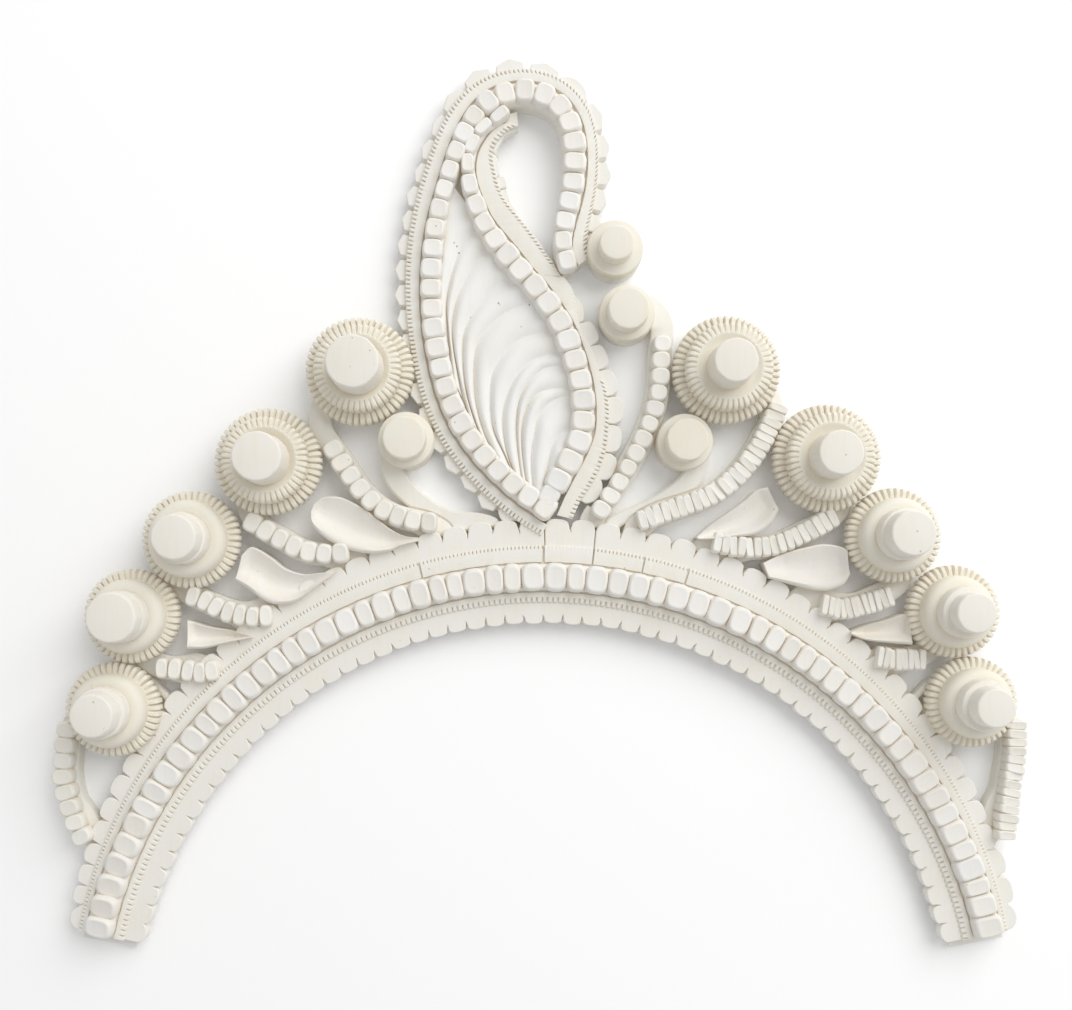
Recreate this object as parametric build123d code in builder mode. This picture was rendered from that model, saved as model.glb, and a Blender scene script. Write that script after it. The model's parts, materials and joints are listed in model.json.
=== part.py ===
"""Mukut crown: a flat bridal crown cut and carved from layers of white pith.

Millimetres. The crown lies on its flat back. The origin is on the back of the
arched band, at the top of the arch under the row of beads. +Y runs up to the
tip of the paisley crest, +X to the right of someone who faces the carved
front, and +Z is that front.
"""
from build123d import *
from math import acos, asin, atan2, cos, degrees, pi, radians, sin
import os

os.makedirs("parts", exist_ok=True)

# Clearances between pieces that are cut apart
piece_gap = 0.15
string_gap = 0.35
bead_gap = 0.2

# Layers of sheet pith, from the flat back to the front
board_thickness = 2.0
layer_thickness = 2.0
strip_thickness = 2.0

# Arched band
bead_row_radius = 111.5
band_half_angle = 79.0
board_overhang = 2.5
board_inset = 1.2
band_bead_width = 7.0
band_bead_length = 4.65
band_bead_height = 5.4
outer_strip_top_width = 4.2
outer_strip_end_width = 1.6
outer_scallop_top_width = 6.1
outer_scallop_end_width = 2.6
outer_scallop_depth = 2.0
outer_scallop_pitch = 5.75
inner_strip_width = 2.5
inner_scallop_width = 5.0
inner_scallop_depth = 1.3
inner_scallop_pitch = 5.2

# Paisley crest on top of the band
crest_width = 55.0
crest_height = 113.0
crest_bead_width = 5.8
crest_bead_length = 4.65
crest_bead_height = 5.0
crest_strip_width = 2.0
crest_scallop_width = 3.2
crest_scallop_depth = 2.0
crest_scallop_pitch = 5.7
crest_margin_width = 6.9
crest_margin_scallop = 3.4
shell_height = 3.4
flute_depth = 1.6
flute_groove_width = 0.7

# Beaded stems and plain crescents between the band and the rosettes
fan_height = 43.0
stem_width = 5.8
stem_bead_width = 4.9
stem_bead_length = 3.6
stem_bead_height = 4.0
bead_sink = 0.3
crescent_width = 5.6
crescent_tip_width = 1.4
sliver_width = 1.7

# Rosettes: toothed discs, then a bowl or a dome, then a plain cap
large_rosette_radius = 13.2
small_rosette_radius = 11.7
rosette_gap = 0.15
head_pad_inset = 2.0
tooth_pitch = 1.7
tooth_depth = 1.4
disc_height = 4.5
upper_disc_inset = 2.7
bowl_rim_width = 1.0
bowl_depth = 1.3
dome_inset = 2.9
dome_height = 4.8
dome_round = 1.6
cap_radius = 6.3
cap_height = 9.6
cap_step_height = 4.4
cap_step_width = 0.5
edge_round = 0.5

# Plain stepped buttons
boss_radius = 6.9
boss_height = 4.6
boss_groove_width = 0.5
boss_groove_depth = 0.4
boss_cap_inset = 1.5
boss_cap_height = 4.6

# Hollowed leaf petals
petal_width = 8.4
petal_height = 7.5
petal_tip_width = 1.2
petal_wall = 1.3
petal_hollow_depth = 3.2

# Shares of a bead's shortest side that round its corners and its crown
bead_corner_share = 0.36
bead_crown_share = 0.30
# Where the flanks of a tooth end and start, as shares of the tooth's pitch
tooth_flank_end = 0.24
tooth_flank_start = 0.76

# Bead routes, as shares of the crest's width and height from its foot on the band
crest_left_route = (
    (0.045, 0.016), (-0.105, 0.064), (-0.238, 0.124), (-0.380, 0.219), (-0.473, 0.366),
    (-0.500, 0.528), (-0.469, 0.658), (-0.415, 0.755), (-0.358, 0.829), (-0.264, 0.896),
    (-0.158, 0.922), (-0.047, 0.924), (0.051, 0.904), (0.113, 0.863), (0.138, 0.798),
    (0.126, 0.712), (0.095, 0.647), (0.085, 0.582), (0.120, 0.540),
)
crest_right_route = (
    (-0.115, 0.876), (-0.190, 0.862), (-0.244, 0.835), (-0.285, 0.800), (-0.314, 0.760),
    (-0.318, 0.715), (-0.287, 0.664), (-0.198, 0.604), (-0.082, 0.541), (0.029, 0.470),
    (0.117, 0.377), (0.170, 0.284), (0.177, 0.215), (0.149, 0.139), (0.085, 0.066),
)
crest_stem_route = (
    (0.370, 0.446), (0.473, 0.468), (0.530, 0.431), (0.526, 0.377), (0.515, 0.284),
    (0.493, 0.237), (0.428, 0.161), (0.331, 0.079), (0.243, 0.022), (0.200, -0.020),
)
hook_boss_place = (0.318, 0.585)
# Share of the left route's length where the right string starts beside it
strings_meet_share = 0.67
# How far the crest reaches beside its foot at the height of the highest rosettes
crest_left_reach = 0.565
crest_stem_reach = 0.560

# Share of the route's length, then share of the full width of the beads
left_bead_shares = ((0.0, 1.0), (0.30, 0.96), (0.45, 0.85), (0.52, 0.74), (0.60, 0.80),
                    (0.68, 1.0), (0.86, 1.0), (1.0, 0.74))
right_bead_shares = ((0.0, 0.55), (0.15, 0.60), (0.26, 0.80), (0.40, 1.0), (1.0, 1.0))
# Share of the route's length, then share of the full width of the margin or its scallops
margin_shares = ((0.0, 0.16), (0.09, 0.20), (0.19, 0.90), (0.28, 0.88), (0.37, 0.72),
                 (0.49, 0.56), (0.59, 0.56), (0.69, 0.72), (0.80, 0.94), (0.91, 1.0), (1.0, 0.80))
scallop_shares = ((0.0, 0.14), (0.10, 0.20), (0.16, 0.55), (0.24, 0.50), (0.33, 0.14),
                  (0.54, 0.14), (0.63, 0.90), (1.0, 1.0))

# Creases between the blades of the shell, from its rim down to its foot
shell_creases = (
    ((-0.358, 0.596), (-0.403, 0.546), (-0.421, 0.476), (-0.394, 0.346), (-0.292, 0.205)),
    ((-0.327, 0.572), (-0.372, 0.509), (-0.394, 0.450), (-0.370, 0.335), (-0.262, 0.180)),
    ((-0.280, 0.510), (-0.326, 0.440), (-0.350, 0.379), (-0.335, 0.290), (-0.222, 0.150)),
    ((-0.200, 0.470), (-0.262, 0.420), (-0.300, 0.360), (-0.300, 0.285), (-0.200, 0.140)),
    ((-0.082, 0.401), (-0.171, 0.355), (-0.229, 0.314), (-0.243, 0.249), (-0.172, 0.130)),
    ((0.010, 0.364), (-0.075, 0.343), (-0.145, 0.300), (-0.178, 0.227), (-0.130, 0.112)),
    ((0.060, 0.330), (-0.015, 0.318), (-0.080, 0.280), (-0.110, 0.210), (-0.090, 0.100)),
    ((0.083, 0.255), (0.012, 0.240), (-0.038, 0.200), (-0.056, 0.151), (-0.052, 0.090)),
    ((0.083, 0.188), (0.045, 0.155), (0.025, 0.125), (0.010, 0.100), (0.000, 0.072)),
)

# Rosettes of each side, from the crest outwards: height as a share of the fan's height,
# size and cap as shares of their full radii, and the gap to the piece before
left_rosettes = (
    {"number": 5, "large": True, "height": 0.985, "size": 1.0, "cap": 1.0, "gap": 0.6},
    {"number": 4, "large": True, "height": 0.685, "size": 0.99, "cap": 0.94, "gap": 5.1},
    {"number": 3, "large": False, "height": 0.528, "size": 1.02, "cap": 0.92, "gap": 1.7},
    {"number": 2, "large": False, "height": 0.412, "size": 0.985, "cap": 0.95, "gap": rosette_gap},
    {"number": 1, "large": False, "height": 0.141, "size": 0.985, "cap": 0.92, "gap": rosette_gap},
)
right_rosettes = (
    {"number": 5, "large": True, "height": 0.990, "size": 1.0, "cap": 0.86, "gap": 0.6},
    {"number": 4, "large": True, "height": 0.723, "size": 1.0, "cap": 0.95, "gap": 6.2},
    {"number": 3, "large": False, "height": 0.538, "size": 0.99, "cap": 0.89, "gap": rosette_gap},
    {"number": 2, "large": False, "height": 0.421, "size": 0.965, "cap": 0.76, "gap": 0.7},
    {"number": 1, "large": False, "height": 0.157, "size": 0.945, "cap": 0.92, "gap": rosette_gap},
)

# Heading of a button from the highest rosette beside it, in degrees from +Y, clockwise
left_boss_heading = 146.0
right_boss_heading = 210.0

# Stems: turn of the foot from the head in degrees, then points between them as shares of
# the straight way from head to foot, along it and to its left
left_stems = {
    5: (3.9, ((0.02, -0.20), (0.10, -0.318), (0.364, -0.325), (0.609, -0.289), (0.808, -0.185))),
    4: (3.9, ((0.02, -0.22), (0.17, -0.38), (0.517, -0.324), (0.735, -0.227))),
    3: (2.4, ((0.02, -0.22), (0.15, -0.40), (0.629, -0.333), (0.893, -0.170))),
    2: (1.4, ((0.10, -0.20), (0.42, -0.340), (0.75, -0.240))),
    1: (-14.5, ((0.05, -0.17), (0.152, -0.283), (0.324, -0.305), (0.643, -0.243), (0.857, -0.125))),
}
right_stems = {
    5: (-4.9, ((-0.03, 0.20), (0.015, 0.314), (0.208, 0.365), (0.415, 0.351), (0.629, 0.270),
               (0.799, 0.127))),
    4: (-7.6, ((0.02, 0.19), (0.115, 0.329), (0.298, 0.330), (0.526, 0.287), (0.744, 0.189))),
    3: (-4.1, ((0.03, 0.25), (0.186, 0.410), (0.417, 0.395), (0.735, 0.279))),
    2: (-2.1, ((0.12, 0.18), (0.45, 0.260), (0.80, 0.160))),
    1: (14.5, ((0.05, 0.16), (0.196, 0.262), (0.435, 0.250), (0.675, 0.165))),
}
left_crescent = (7.7, ((0.02, -0.227), (0.163, -0.297), (0.394, -0.306), (0.711, -0.215)))
right_crescent = (-6.1, ((0.022, 0.217), (0.24, 0.272), (0.491, 0.221), (0.74, 0.115)))
left_sliver = (3.9, ((0.60, 0.50), (0.90, 0.26)))
right_sliver = (-3.6, ((0.65, -0.38), (0.92, -0.19)))

# Petals: the stem above each, the tip's place as a share of the way from that stem's foot
# to the next, the heading from the radius in degrees, the length and a share of the width
left_petals = (
    {"number": 1, "stem": 5, "tip": 0.52, "heading": -50.0, "length": 21.5, "width": 1.0},
    {"number": 2, "stem": 4, "tip": 0.52, "heading": -43.0, "length": 17.5, "width": 0.9},
    {"number": 3, "stem": 3, "tip": 0.38, "heading": -52.0, "length": 14.0, "width": 0.7},
)
right_petals = (
    {"number": 1, "stem": 5, "tip": 0.82, "heading": 46.0, "length": 21.5, "width": 1.0},
    {"number": 2, "stem": 4, "tip": 0.82, "heading": 46.0, "length": 16.5, "width": 0.9},
    {"number": 3, "stem": 3, "tip": 0.70, "heading": 38.0, "length": 11.2, "width": 0.85},
)
# A petal's half outline: share of its length from the tip, share of its half width
petal_outline = ((0.30, 0.45), (0.62, 0.90), (0.84, 1.0), (0.97, 0.62))

seat_height = board_thickness + layer_thickness
arch_centre = Vector(0, -bead_row_radius)
rail_pitch = 6.0
bead_reach = band_bead_width / 2 + piece_gap
inner_band_reach = bead_reach + inner_strip_width + inner_scallop_width


def polar_point(angle, radius):
    """A point at an angle from the top of the arch, clockwise, about the arch's centre."""
    return arch_centre + Vector(sin(radians(angle)), cos(radians(angle))) * radius


def polar_angle(point):
    offset = point - arch_centre
    return degrees(atan2(offset.X, offset.Y))


def fullness(angle):
    """One at the top of the arch, nought at the ends of the band."""
    end = cos(radians(band_half_angle))
    return (cos(radians(angle)) - end) / (1 - end)


def outer_strip_reach(angle):
    grown = outer_strip_top_width - outer_strip_end_width
    return bead_reach + outer_strip_end_width + grown * fullness(angle)


def band_reach(angle):
    """How far the tips of the outer scallops stand from the middle of the bead row."""
    grown = outer_scallop_top_width - outer_scallop_end_width
    return outer_strip_reach(angle) + outer_scallop_end_width + grown * fullness(angle)


def eased(table, share):
    """A value between the rows of a table of shares and values, eased at each row."""
    for (start, low), (stop, high) in zip(table, table[1:]):
        if share <= stop:
            step = (share - start) / (stop - start)
            return low + (high - low) * step * step * (3 - 2 * step)
    return table[-1][1]


def beside(route, share, side):
    """A point beside a route at a share of its length, to the left where side is positive."""
    run = route.length * share
    along = route.tangent_at(run, position_mode=PositionMode.LENGTH)
    here = route.position_at(run, position_mode=PositionMode.LENGTH)
    return here + Vector(-along.Y, along.X) * side


def rail(route, side, start=0.0, stop=1.0):
    """A rail beside a route, side being a function of the share of its length."""
    if route.geom_type == GeomType.CIRCLE:
        middle = (start + stop) / 2
        return ThreePointArc(*[beside(route, share, side(share)) for share in (start, middle, stop)])
    steps = max(4, round(route.length * (stop - start) / rail_pitch))
    shares = [start + (stop - start) * step / steps for step in range(steps + 1)]
    return Spline(*[beside(route, share, side(share)) for share in shares])


def strip_face(route, right, left, start=0.0, stop=1.0):
    """A flat strip along a route, between its right rail and its left rail."""
    with BuildSketch() as strip:
        with BuildLine():
            low = rail(route, right, start, stop)
            high = rail(route, left, start, stop)
            Line(low @ 0, high @ 0)
            Line(low @ 1, high @ 1)
        make_face()
    return strip.face()


def scalloped_face(route, plain, valley, depth, pitch, start=0.0, stop=1.0):
    """A strip whose far edge has round tabs that stand out from the valley rail."""
    count = max(3, round(route.length * (stop - start) / pitch))
    cell = (stop - start) / count
    with BuildSketch() as strip:
        with BuildLine():
            low = rail(route, plain, start, stop)
            for tab in range(count):
                first, middle, last = (start + cell * (tab + part) for part in (0, 0.5, 1))
                ThreePointArc(
                    beside(route, first, valley(first)),
                    beside(route, middle, valley(middle) + depth(middle)),
                    beside(route, last, valley(last)),
                )
            Line(low @ 0, beside(route, start, valley(start)))
            Line(low @ 1, beside(route, stop, valley(stop)))
        make_face()
    return strip.face()


def cushion(corners, base, height):
    """A bead with four rounded corners and a rounded crown."""
    shortest = min((a - b).length for a, b in zip(corners, corners[1:] + corners[:1]))
    with BuildPart() as bead:
        with BuildSketch(Plane.XY.offset(base)):
            Polygon(*corners, align=None)
        extrude(amount=height)
        fillet(bead.edges().filter_by(Axis.Z), shortest * bead_corner_share)
        fillet(bead.faces().sort_by(Axis.Z)[-1].edges(), shortest * bead_crown_share)
    return bead.part


def bead_row_of(route, width, length, base, height, blockers=(), start=0.0, stop=1.0):
    """Beads in a row along a route, narrower on the inside of a bend."""
    count = int(route.length * (stop - start) / (length + bead_gap))
    cell = (stop - start) / count
    inset = bead_gap / 2 / route.length
    beads = []
    for number in range(count):
        first = start + cell * number + inset
        last = start + cell * (number + 1) - inset
        half = width((first + last) / 2) / 2
        corners = [beside(route, first, half), beside(route, last, half),
                   beside(route, last, -half), beside(route, first, -half)]
        if any(face.is_inside(corner) for face in blockers for corner in corners):
            continue
        beads.append(cushion(corners, base, height))
    return beads


def finish(name, piece):
    piece.part.label = name
    export_step(piece.part, "parts/" + name + ".step")


def slab(name, flat, base, thickness):
    """A flat layer cut from sheet pith."""
    with BuildPart() as piece:
        with BuildSketch(Plane.XY.offset(base)):
            add(flat)
        extrude(amount=thickness)
    finish(name, piece)


def loose_beads(name, beads):
    """A row of separate beads that stand on the layers below."""
    with BuildPart() as row:
        add(beads)
    finish(name, row)


def disc_face(centre, radius):
    with BuildSketch() as disc:
        with Locations(centre):
            Circle(radius)
    return disc.face()


# The arched band: a board, two scalloped layers, two strips and the row of beads
with BuildLine() as bead_row:
    ThreePointArc(
        polar_point(-band_half_angle, bead_row_radius),
        polar_point(0, bead_row_radius),
        polar_point(band_half_angle, bead_row_radius),
    )
bead_row = bead_row.edge()
layer_start = board_overhang / bead_row.length
layer_stop = 1 - layer_start


def row_angle(share):
    return band_half_angle * (2 * share - 1)


slab("band_board", strip_face(
    bead_row,
    lambda share: -(inner_band_reach - inner_scallop_depth - board_inset),
    lambda share: band_reach(row_angle(share)) - outer_scallop_depth - board_inset,
), 0, board_thickness)
slab("band_outer_scallops", scalloped_face(
    bead_row,
    lambda share: piece_gap / 2,
    lambda share: band_reach(row_angle(share)) - outer_scallop_depth,
    lambda share: outer_scallop_depth,
    outer_scallop_pitch, layer_start, layer_stop,
), board_thickness, layer_thickness)
slab("band_inner_scallops", scalloped_face(
    bead_row,
    lambda share: -piece_gap / 2,
    lambda share: -(inner_band_reach - inner_scallop_depth),
    lambda share: -inner_scallop_depth,
    inner_scallop_pitch, layer_start, layer_stop,
), board_thickness, layer_thickness)
slab("band_outer_strip", strip_face(
    bead_row,
    lambda share: bead_reach,
    lambda share: outer_strip_reach(row_angle(share)),
    layer_start, layer_stop,
), seat_height, strip_thickness)
slab("band_inner_strip", strip_face(
    bead_row,
    lambda share: -bead_reach - inner_strip_width,
    lambda share: -bead_reach,
    layer_start, layer_stop,
), seat_height, strip_thickness)
loose_beads("band_beads", bead_row_of(
    bead_row, lambda share: band_bead_width, band_bead_length, seat_height, band_bead_height,
    (), layer_start, layer_stop,
))

# All that lies within the tips of the band's outer scallops, with a clearance round them
with BuildSketch() as band_cut:
    with BuildLine():
        band_rim = rail(bead_row, lambda share: band_reach(row_angle(share)) + piece_gap)
        Line(band_rim @ 0, arch_centre)
        Line(band_rim @ 1, arch_centre)
    make_face()
band_cut = band_cut.face()


# The paisley crest: a board, two scalloped layers, two strips, two bead strings and a shell
def crest_point(place):
    across, up = place
    return Vector(across * crest_width, band_reach(0) + up * crest_height)


def crest_line(places):
    with BuildLine() as line:
        Spline(*[crest_point(place) for place in places])
    return line.edge()


left_route = crest_line(crest_left_route)
right_route = crest_line(crest_right_route)
left_strip_reach = crest_bead_width / 2 + string_gap + crest_strip_width
left_reach = left_strip_reach + crest_scallop_width


def left_half(share):
    return crest_bead_width * eased(left_bead_shares, share) / 2


def right_half(share):
    return crest_bead_width * eased(right_bead_shares, share) / 2


def right_reach(share):
    return right_half(share) + piece_gap + crest_margin_width * eased(margin_shares, share)


def right_scallop(share):
    return crest_margin_scallop * eased(scallop_shares, share)


def right_depth(share):
    return crest_scallop_depth * eased(scallop_shares, share)


hook_boss = crest_point(hook_boss_place)
hook_pad = disc_face(hook_boss, boss_radius - piece_gap)
# The left string's ribbon with a clearance, which trims what comes up to it
left_cut = strip_face(
    left_route,
    lambda share: -left_half(share) - string_gap,
    lambda share: left_reach + piece_gap,
)
right_cut = strip_face(
    right_route,
    lambda share: -right_half(share) - piece_gap,
    lambda share: right_reach(share) + piece_gap,
)
with BuildSketch() as crest_body:
    with BuildLine():
        rise = rail(left_route, lambda share: 0, 0.0, strings_meet_share)
        fall = rail(right_route, lambda share: 0)
        Line(rise @ 0, fall @ 1)
        Line(rise @ 1, fall @ 0)
    make_face()

with BuildSketch() as crest_back:
    add(crest_body.sketch)
    add(strip_face(
        left_route,
        lambda share: -left_half(share),
        lambda share: left_reach - crest_scallop_depth - board_inset / 2,
    ))
    add(strip_face(
        right_route,
        lambda share: -right_half(share),
        lambda share: right_reach(share) - right_depth(share) - board_inset / 2,
    ))
    add(hook_pad)
    add(band_cut, mode=Mode.SUBTRACT)
slab("crest_board", crest_back.sketch, 0, board_thickness)

with BuildSketch() as left_tabs:
    add(scalloped_face(
        left_route,
        lambda share: -left_half(share),
        lambda share: left_reach - crest_scallop_depth,
        lambda share: crest_scallop_depth,
        crest_scallop_pitch,
    ))
    add(hook_pad)
    add(band_cut, mode=Mode.SUBTRACT)
slab("crest_left_scallops", left_tabs.sketch, board_thickness, layer_thickness)

with BuildSketch() as right_tabs:
    add(scalloped_face(
        right_route,
        lambda share: -right_half(share),
        lambda share: right_reach(share) - right_depth(share),
        right_depth,
        crest_scallop_pitch,
    ))
    add(left_cut, mode=Mode.SUBTRACT)
    add(band_cut, mode=Mode.SUBTRACT)
right_tabs = right_tabs.faces().sort_by(SortBy.AREA)[-1]
slab("crest_right_scallops", right_tabs, board_thickness, layer_thickness)

with BuildSketch() as left_edging:
    add(strip_face(
        left_route,
        lambda share: left_half(share) + string_gap,
        lambda share: left_strip_reach,
    ))
    add(disc_face(hook_boss, boss_radius + piece_gap), mode=Mode.SUBTRACT)
left_edging = left_edging.faces().sort_by(SortBy.AREA)[-1]
slab("crest_left_strip", left_edging, seat_height, strip_thickness)

with BuildSketch() as right_edging:
    add(strip_face(
        right_route,
        lambda share: right_half(share) + string_gap,
        lambda share: right_reach(share) - right_scallop(share),
    ))
    add(left_cut, mode=Mode.SUBTRACT)
right_edging = right_edging.faces().sort_by(SortBy.AREA)[-1]
slab("crest_right_strip", right_edging, seat_height, strip_thickness)

loose_beads("crest_left_beads", bead_row_of(
    left_route, lambda share: 2 * left_half(share), crest_bead_length, seat_height,
    crest_bead_height, [disc_face(hook_boss, boss_radius + piece_gap)],
))
loose_beads("crest_right_beads", bead_row_of(
    right_route, lambda share: 2 * right_half(share), crest_bead_length, seat_height,
    crest_bead_height, [left_cut],
))

with BuildSketch() as shell_outline:
    add(crest_body.sketch)
    add(left_cut, mode=Mode.SUBTRACT)
    add(right_cut, mode=Mode.SUBTRACT)
    add(band_cut, mode=Mode.SUBTRACT)
with BuildPart() as crest_shell:
    with BuildSketch(Plane.XY.offset(board_thickness)):
        add(shell_outline.faces().sort_by(SortBy.AREA)[-1])
    extrude(amount=layer_thickness + shell_height)
    with BuildSketch(Plane.XY.offset(seat_height + shell_height)):
        for crease in shell_creases:
            add(strip_face(
                crest_line(crease),
                lambda share: -flute_groove_width / 2,
                lambda share: flute_groove_width / 2,
            ))
    extrude(amount=-flute_depth, mode=Mode.SUBTRACT)
finish("crest_shell", crest_shell)


# Rosettes
def toothed_disc(radius):
    """A disc with a ring of blunt teeth round its edge."""
    count = round(2 * pi * radius / tooth_pitch)
    corners = []
    for tooth in range(count):
        for part, reach in ((0, radius - tooth_depth), (tooth_flank_end, radius),
                            (tooth_flank_start, radius)):
            turn = 2 * pi * (tooth + part) / count
            corners.append((reach * cos(turn), reach * sin(turn)))
    with BuildSketch() as disc:
        with BuildLine():
            Polyline(*corners, close=True)
        make_face()
    return disc.face()


def large_rosette(name, radius, cap_reach, place):
    """Two toothed discs, the upper one hollowed to a bowl that holds the cap."""
    upper = radius - upper_disc_inset
    rim = upper - tooth_depth - bowl_rim_width
    top = seat_height + 2 * disc_height
    floor = top - bowl_depth
    with BuildPart() as base:
        with BuildSketch(Plane(place).offset(seat_height)):
            add(toothed_disc(radius))
        extrude(amount=disc_height)
        with BuildSketch(Plane(place).offset(seat_height + disc_height)):
            add(toothed_disc(upper))
        extrude(amount=disc_height)
        with BuildSketch(Plane(place).offset(top)):
            Circle(rim)
        with BuildSketch(Plane(place).offset(floor)):
            Circle(cap_reach + piece_gap)
        loft(mode=Mode.SUBTRACT)
    finish(name + "_base", base)
    with BuildPart() as cap:
        with BuildSketch(Plane(place).offset(floor)):
            Circle(cap_reach)
        extrude(amount=cap_height)
        fillet(cap.faces().sort_by(Axis.Z)[-1].edges(), edge_round)
    finish(name + "_cap", cap)


def small_rosette(name, radius, cap_reach, place):
    """A toothed disc under a plain dome, with a stepped cap."""
    dome_base = seat_height + disc_height
    floor = dome_base + dome_height
    with BuildPart() as base:
        with BuildSketch(Plane(place).offset(seat_height)):
            add(toothed_disc(radius))
        extrude(amount=disc_height)
        with BuildSketch(Plane(place).offset(dome_base)):
            Circle(radius - dome_inset)
        extrude(amount=dome_height)
        fillet(base.faces().sort_by(Axis.Z)[-1].edges(), dome_round)
    finish(name + "_base", base)
    with BuildPart() as cap:
        with BuildSketch(Plane(place).offset(floor)):
            Circle(cap_reach)
        extrude(amount=cap_step_height)
        with BuildSketch(Plane(place).offset(floor + cap_step_height)):
            Circle(cap_reach - cap_step_width)
        extrude(amount=cap_height - cap_step_height)
        fillet(cap.faces().sort_by(Axis.Z)[-1].edges(), edge_round)
    finish(name + "_cap", cap)


def rosette_radius(row):
    return row["size"] * (large_rosette_radius if row["large"] else small_rosette_radius)


def fan(rows, side, reach):
    """Centres of the rosettes of one side, each a gap away from the piece before it."""
    places = {}
    for row in rows:
        distance = bead_row_radius + band_reach(0) + row["height"] * fan_height
        radius = rosette_radius(row)
        if not places:
            angle = degrees(asin((reach + row["gap"] + radius) / distance))
        else:
            between = last_radius + row["gap"] + radius
            squares = distance ** 2 + last_distance ** 2 - between ** 2
            angle += degrees(acos(squares / (2 * distance * last_distance)))
        places[row["number"]] = polar_point(side * angle, distance)
        last_distance, last_radius = distance, radius
    return places


left_fan = fan(left_rosettes, -1, crest_left_reach * crest_width)
right_fan = fan(right_rosettes, 1, crest_stem_reach * crest_width)
for label, rows, places in (("left", left_rosettes, left_fan), ("right", right_rosettes, right_fan)):
    for row in rows:
        build = large_rosette if row["large"] else small_rosette
        build(f"{label}_rosette_{row['number']}", rosette_radius(row), row["cap"] * cap_radius,
              places[row["number"]])


# Plain stepped buttons beside the crest and under the highest rosettes
def boss(name, place):
    with BuildPart() as button:
        with BuildSketch(Plane(place).offset(seat_height)):
            Circle(boss_radius)
        extrude(amount=boss_height)
        with BuildSketch(Plane(place).offset(seat_height + boss_height)):
            Circle(boss_radius - boss_cap_inset)
        extrude(amount=boss_cap_height)
        fillet(button.faces().sort_by(Axis.Z)[-1].edges(), edge_round)
        with BuildSketch(Plane(place).offset(seat_height + boss_height / 2)):
            Circle(boss_radius)
            Circle(boss_radius - boss_groove_depth, mode=Mode.SUBTRACT)
        extrude(amount=boss_groove_width, mode=Mode.SUBTRACT)
    finish(name, button)


def boss_beside(place, rosette, heading):
    reach = rosette + piece_gap + boss_radius
    return place + Vector(sin(radians(heading)), cos(radians(heading))) * reach


left_boss = boss_beside(left_fan[5], rosette_radius(left_rosettes[0]), left_boss_heading)
right_boss = boss_beside(right_fan[5], rosette_radius(right_rosettes[0]), right_boss_heading)
crest_boss = crest_point(crest_stem_route[0])
boss("left_boss", left_boss)
boss("right_boss", right_boss)
boss("hook_boss", hook_boss)
boss("crest_boss", crest_boss)


# Stems and crescents: a board from under each rosette to the band
def stem_line(head, turn, points):
    """A curve from a head to its foot, just inside the band's edge."""
    foot_angle = polar_angle(head) + turn
    foot = polar_point(foot_angle, bead_row_radius + band_reach(foot_angle))
    inside = polar_point(foot_angle, bead_row_radius + outer_strip_reach(foot_angle))
    way = foot - head
    across = Vector(-way.Y, way.X)
    with BuildLine() as line:
        Spline(head, *[head + way * along + across * side for along, side in points], foot, inside)
    return line.edge()


def constant(width):
    return lambda share: width


def board_sketch(route, head, head_radius, width, others, extra=()):
    """The plan of a stem's board, trimmed clear of the band, the crest and other heads."""
    with BuildSketch() as plan:
        add(strip_face(route, lambda share: -width(share) / 2, lambda share: width(share) / 2))
        for face in extra:
            add(face)
        with Locations(head):
            Circle(head_radius)
        add(band_cut, mode=Mode.SUBTRACT)
        add(left_cut, mode=Mode.SUBTRACT)
        add(right_cut, mode=Mode.SUBTRACT)
        for face in others:
            add(face, mode=Mode.SUBTRACT)
    return plan.faces().sort_by(SortBy.AREA)[-1]


def beaded_stem(name, route, plan, blockers):
    """A board with a row of beads carved on it."""
    with BuildPart() as stem:
        with BuildSketch():
            add(plan)
        extrude(amount=seat_height)
        add(bead_row_of(
            route, constant(stem_bead_width), stem_bead_length, seat_height - bead_sink,
            bead_sink + stem_bead_height, blockers,
        ))
    finish(name, stem)


rosette_discs, head_discs = {}, {}
for label, rows, places in (("left", left_rosettes, left_fan), ("right", right_rosettes, right_fan)):
    for row in rows:
        key = (label, row["number"])
        radius = rosette_radius(row)
        rosette_discs[key] = disc_face(places[row["number"]], radius + piece_gap)
        head_discs[key] = disc_face(places[row["number"]], radius - head_pad_inset + piece_gap)
boss_discs = {
    place_name: disc_face(place, boss_radius + piece_gap)
    for place_name, place in (("left", left_boss), ("right", right_boss), ("hook", hook_boss),
                              ("crest", crest_boss))
}

stem_plans, stem_routes = {}, {}
for label, rows, places, stems, sliver in (
    ("left", left_rosettes, left_fan, left_stems, left_sliver),
    ("right", right_rosettes, right_fan, right_stems, right_sliver),
):
    for row in rows:
        number = row["number"]
        head = places[number]
        route = stem_line(head, *stems[number])
        stem_routes[label, number] = route
        extra = []
        if number == 1:
            extra.append(strip_face(
                stem_line(head, *sliver),
                lambda share: -sliver_width / 2, lambda share: sliver_width / 2))
        others = [face for key, face in head_discs.items()
                  if key[0] == label and abs(key[1] - number) == 1]
        plan = board_sketch(route, head, rosette_radius(row) - head_pad_inset,
                            constant(stem_width), others, extra)
        stem_plans[label, number] = plan
        near = [face for key, face in rosette_discs.items()
                if key[0] == label and abs(key[1] - number) <= 1]
        beaded_stem(f"{label}_stem_{number}", route, plan,
                    [band_cut, boss_discs[label], *near])

crest_stem = crest_line(crest_stem_route)
crest_stem_plan = board_sketch(crest_stem, crest_boss, boss_radius - piece_gap,
                               constant(stem_width), [hook_pad])
beaded_stem("crest_stem", crest_stem, crest_stem_plan,
            [band_cut, right_cut, rosette_discs["right", 5], *boss_discs.values()])


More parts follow.
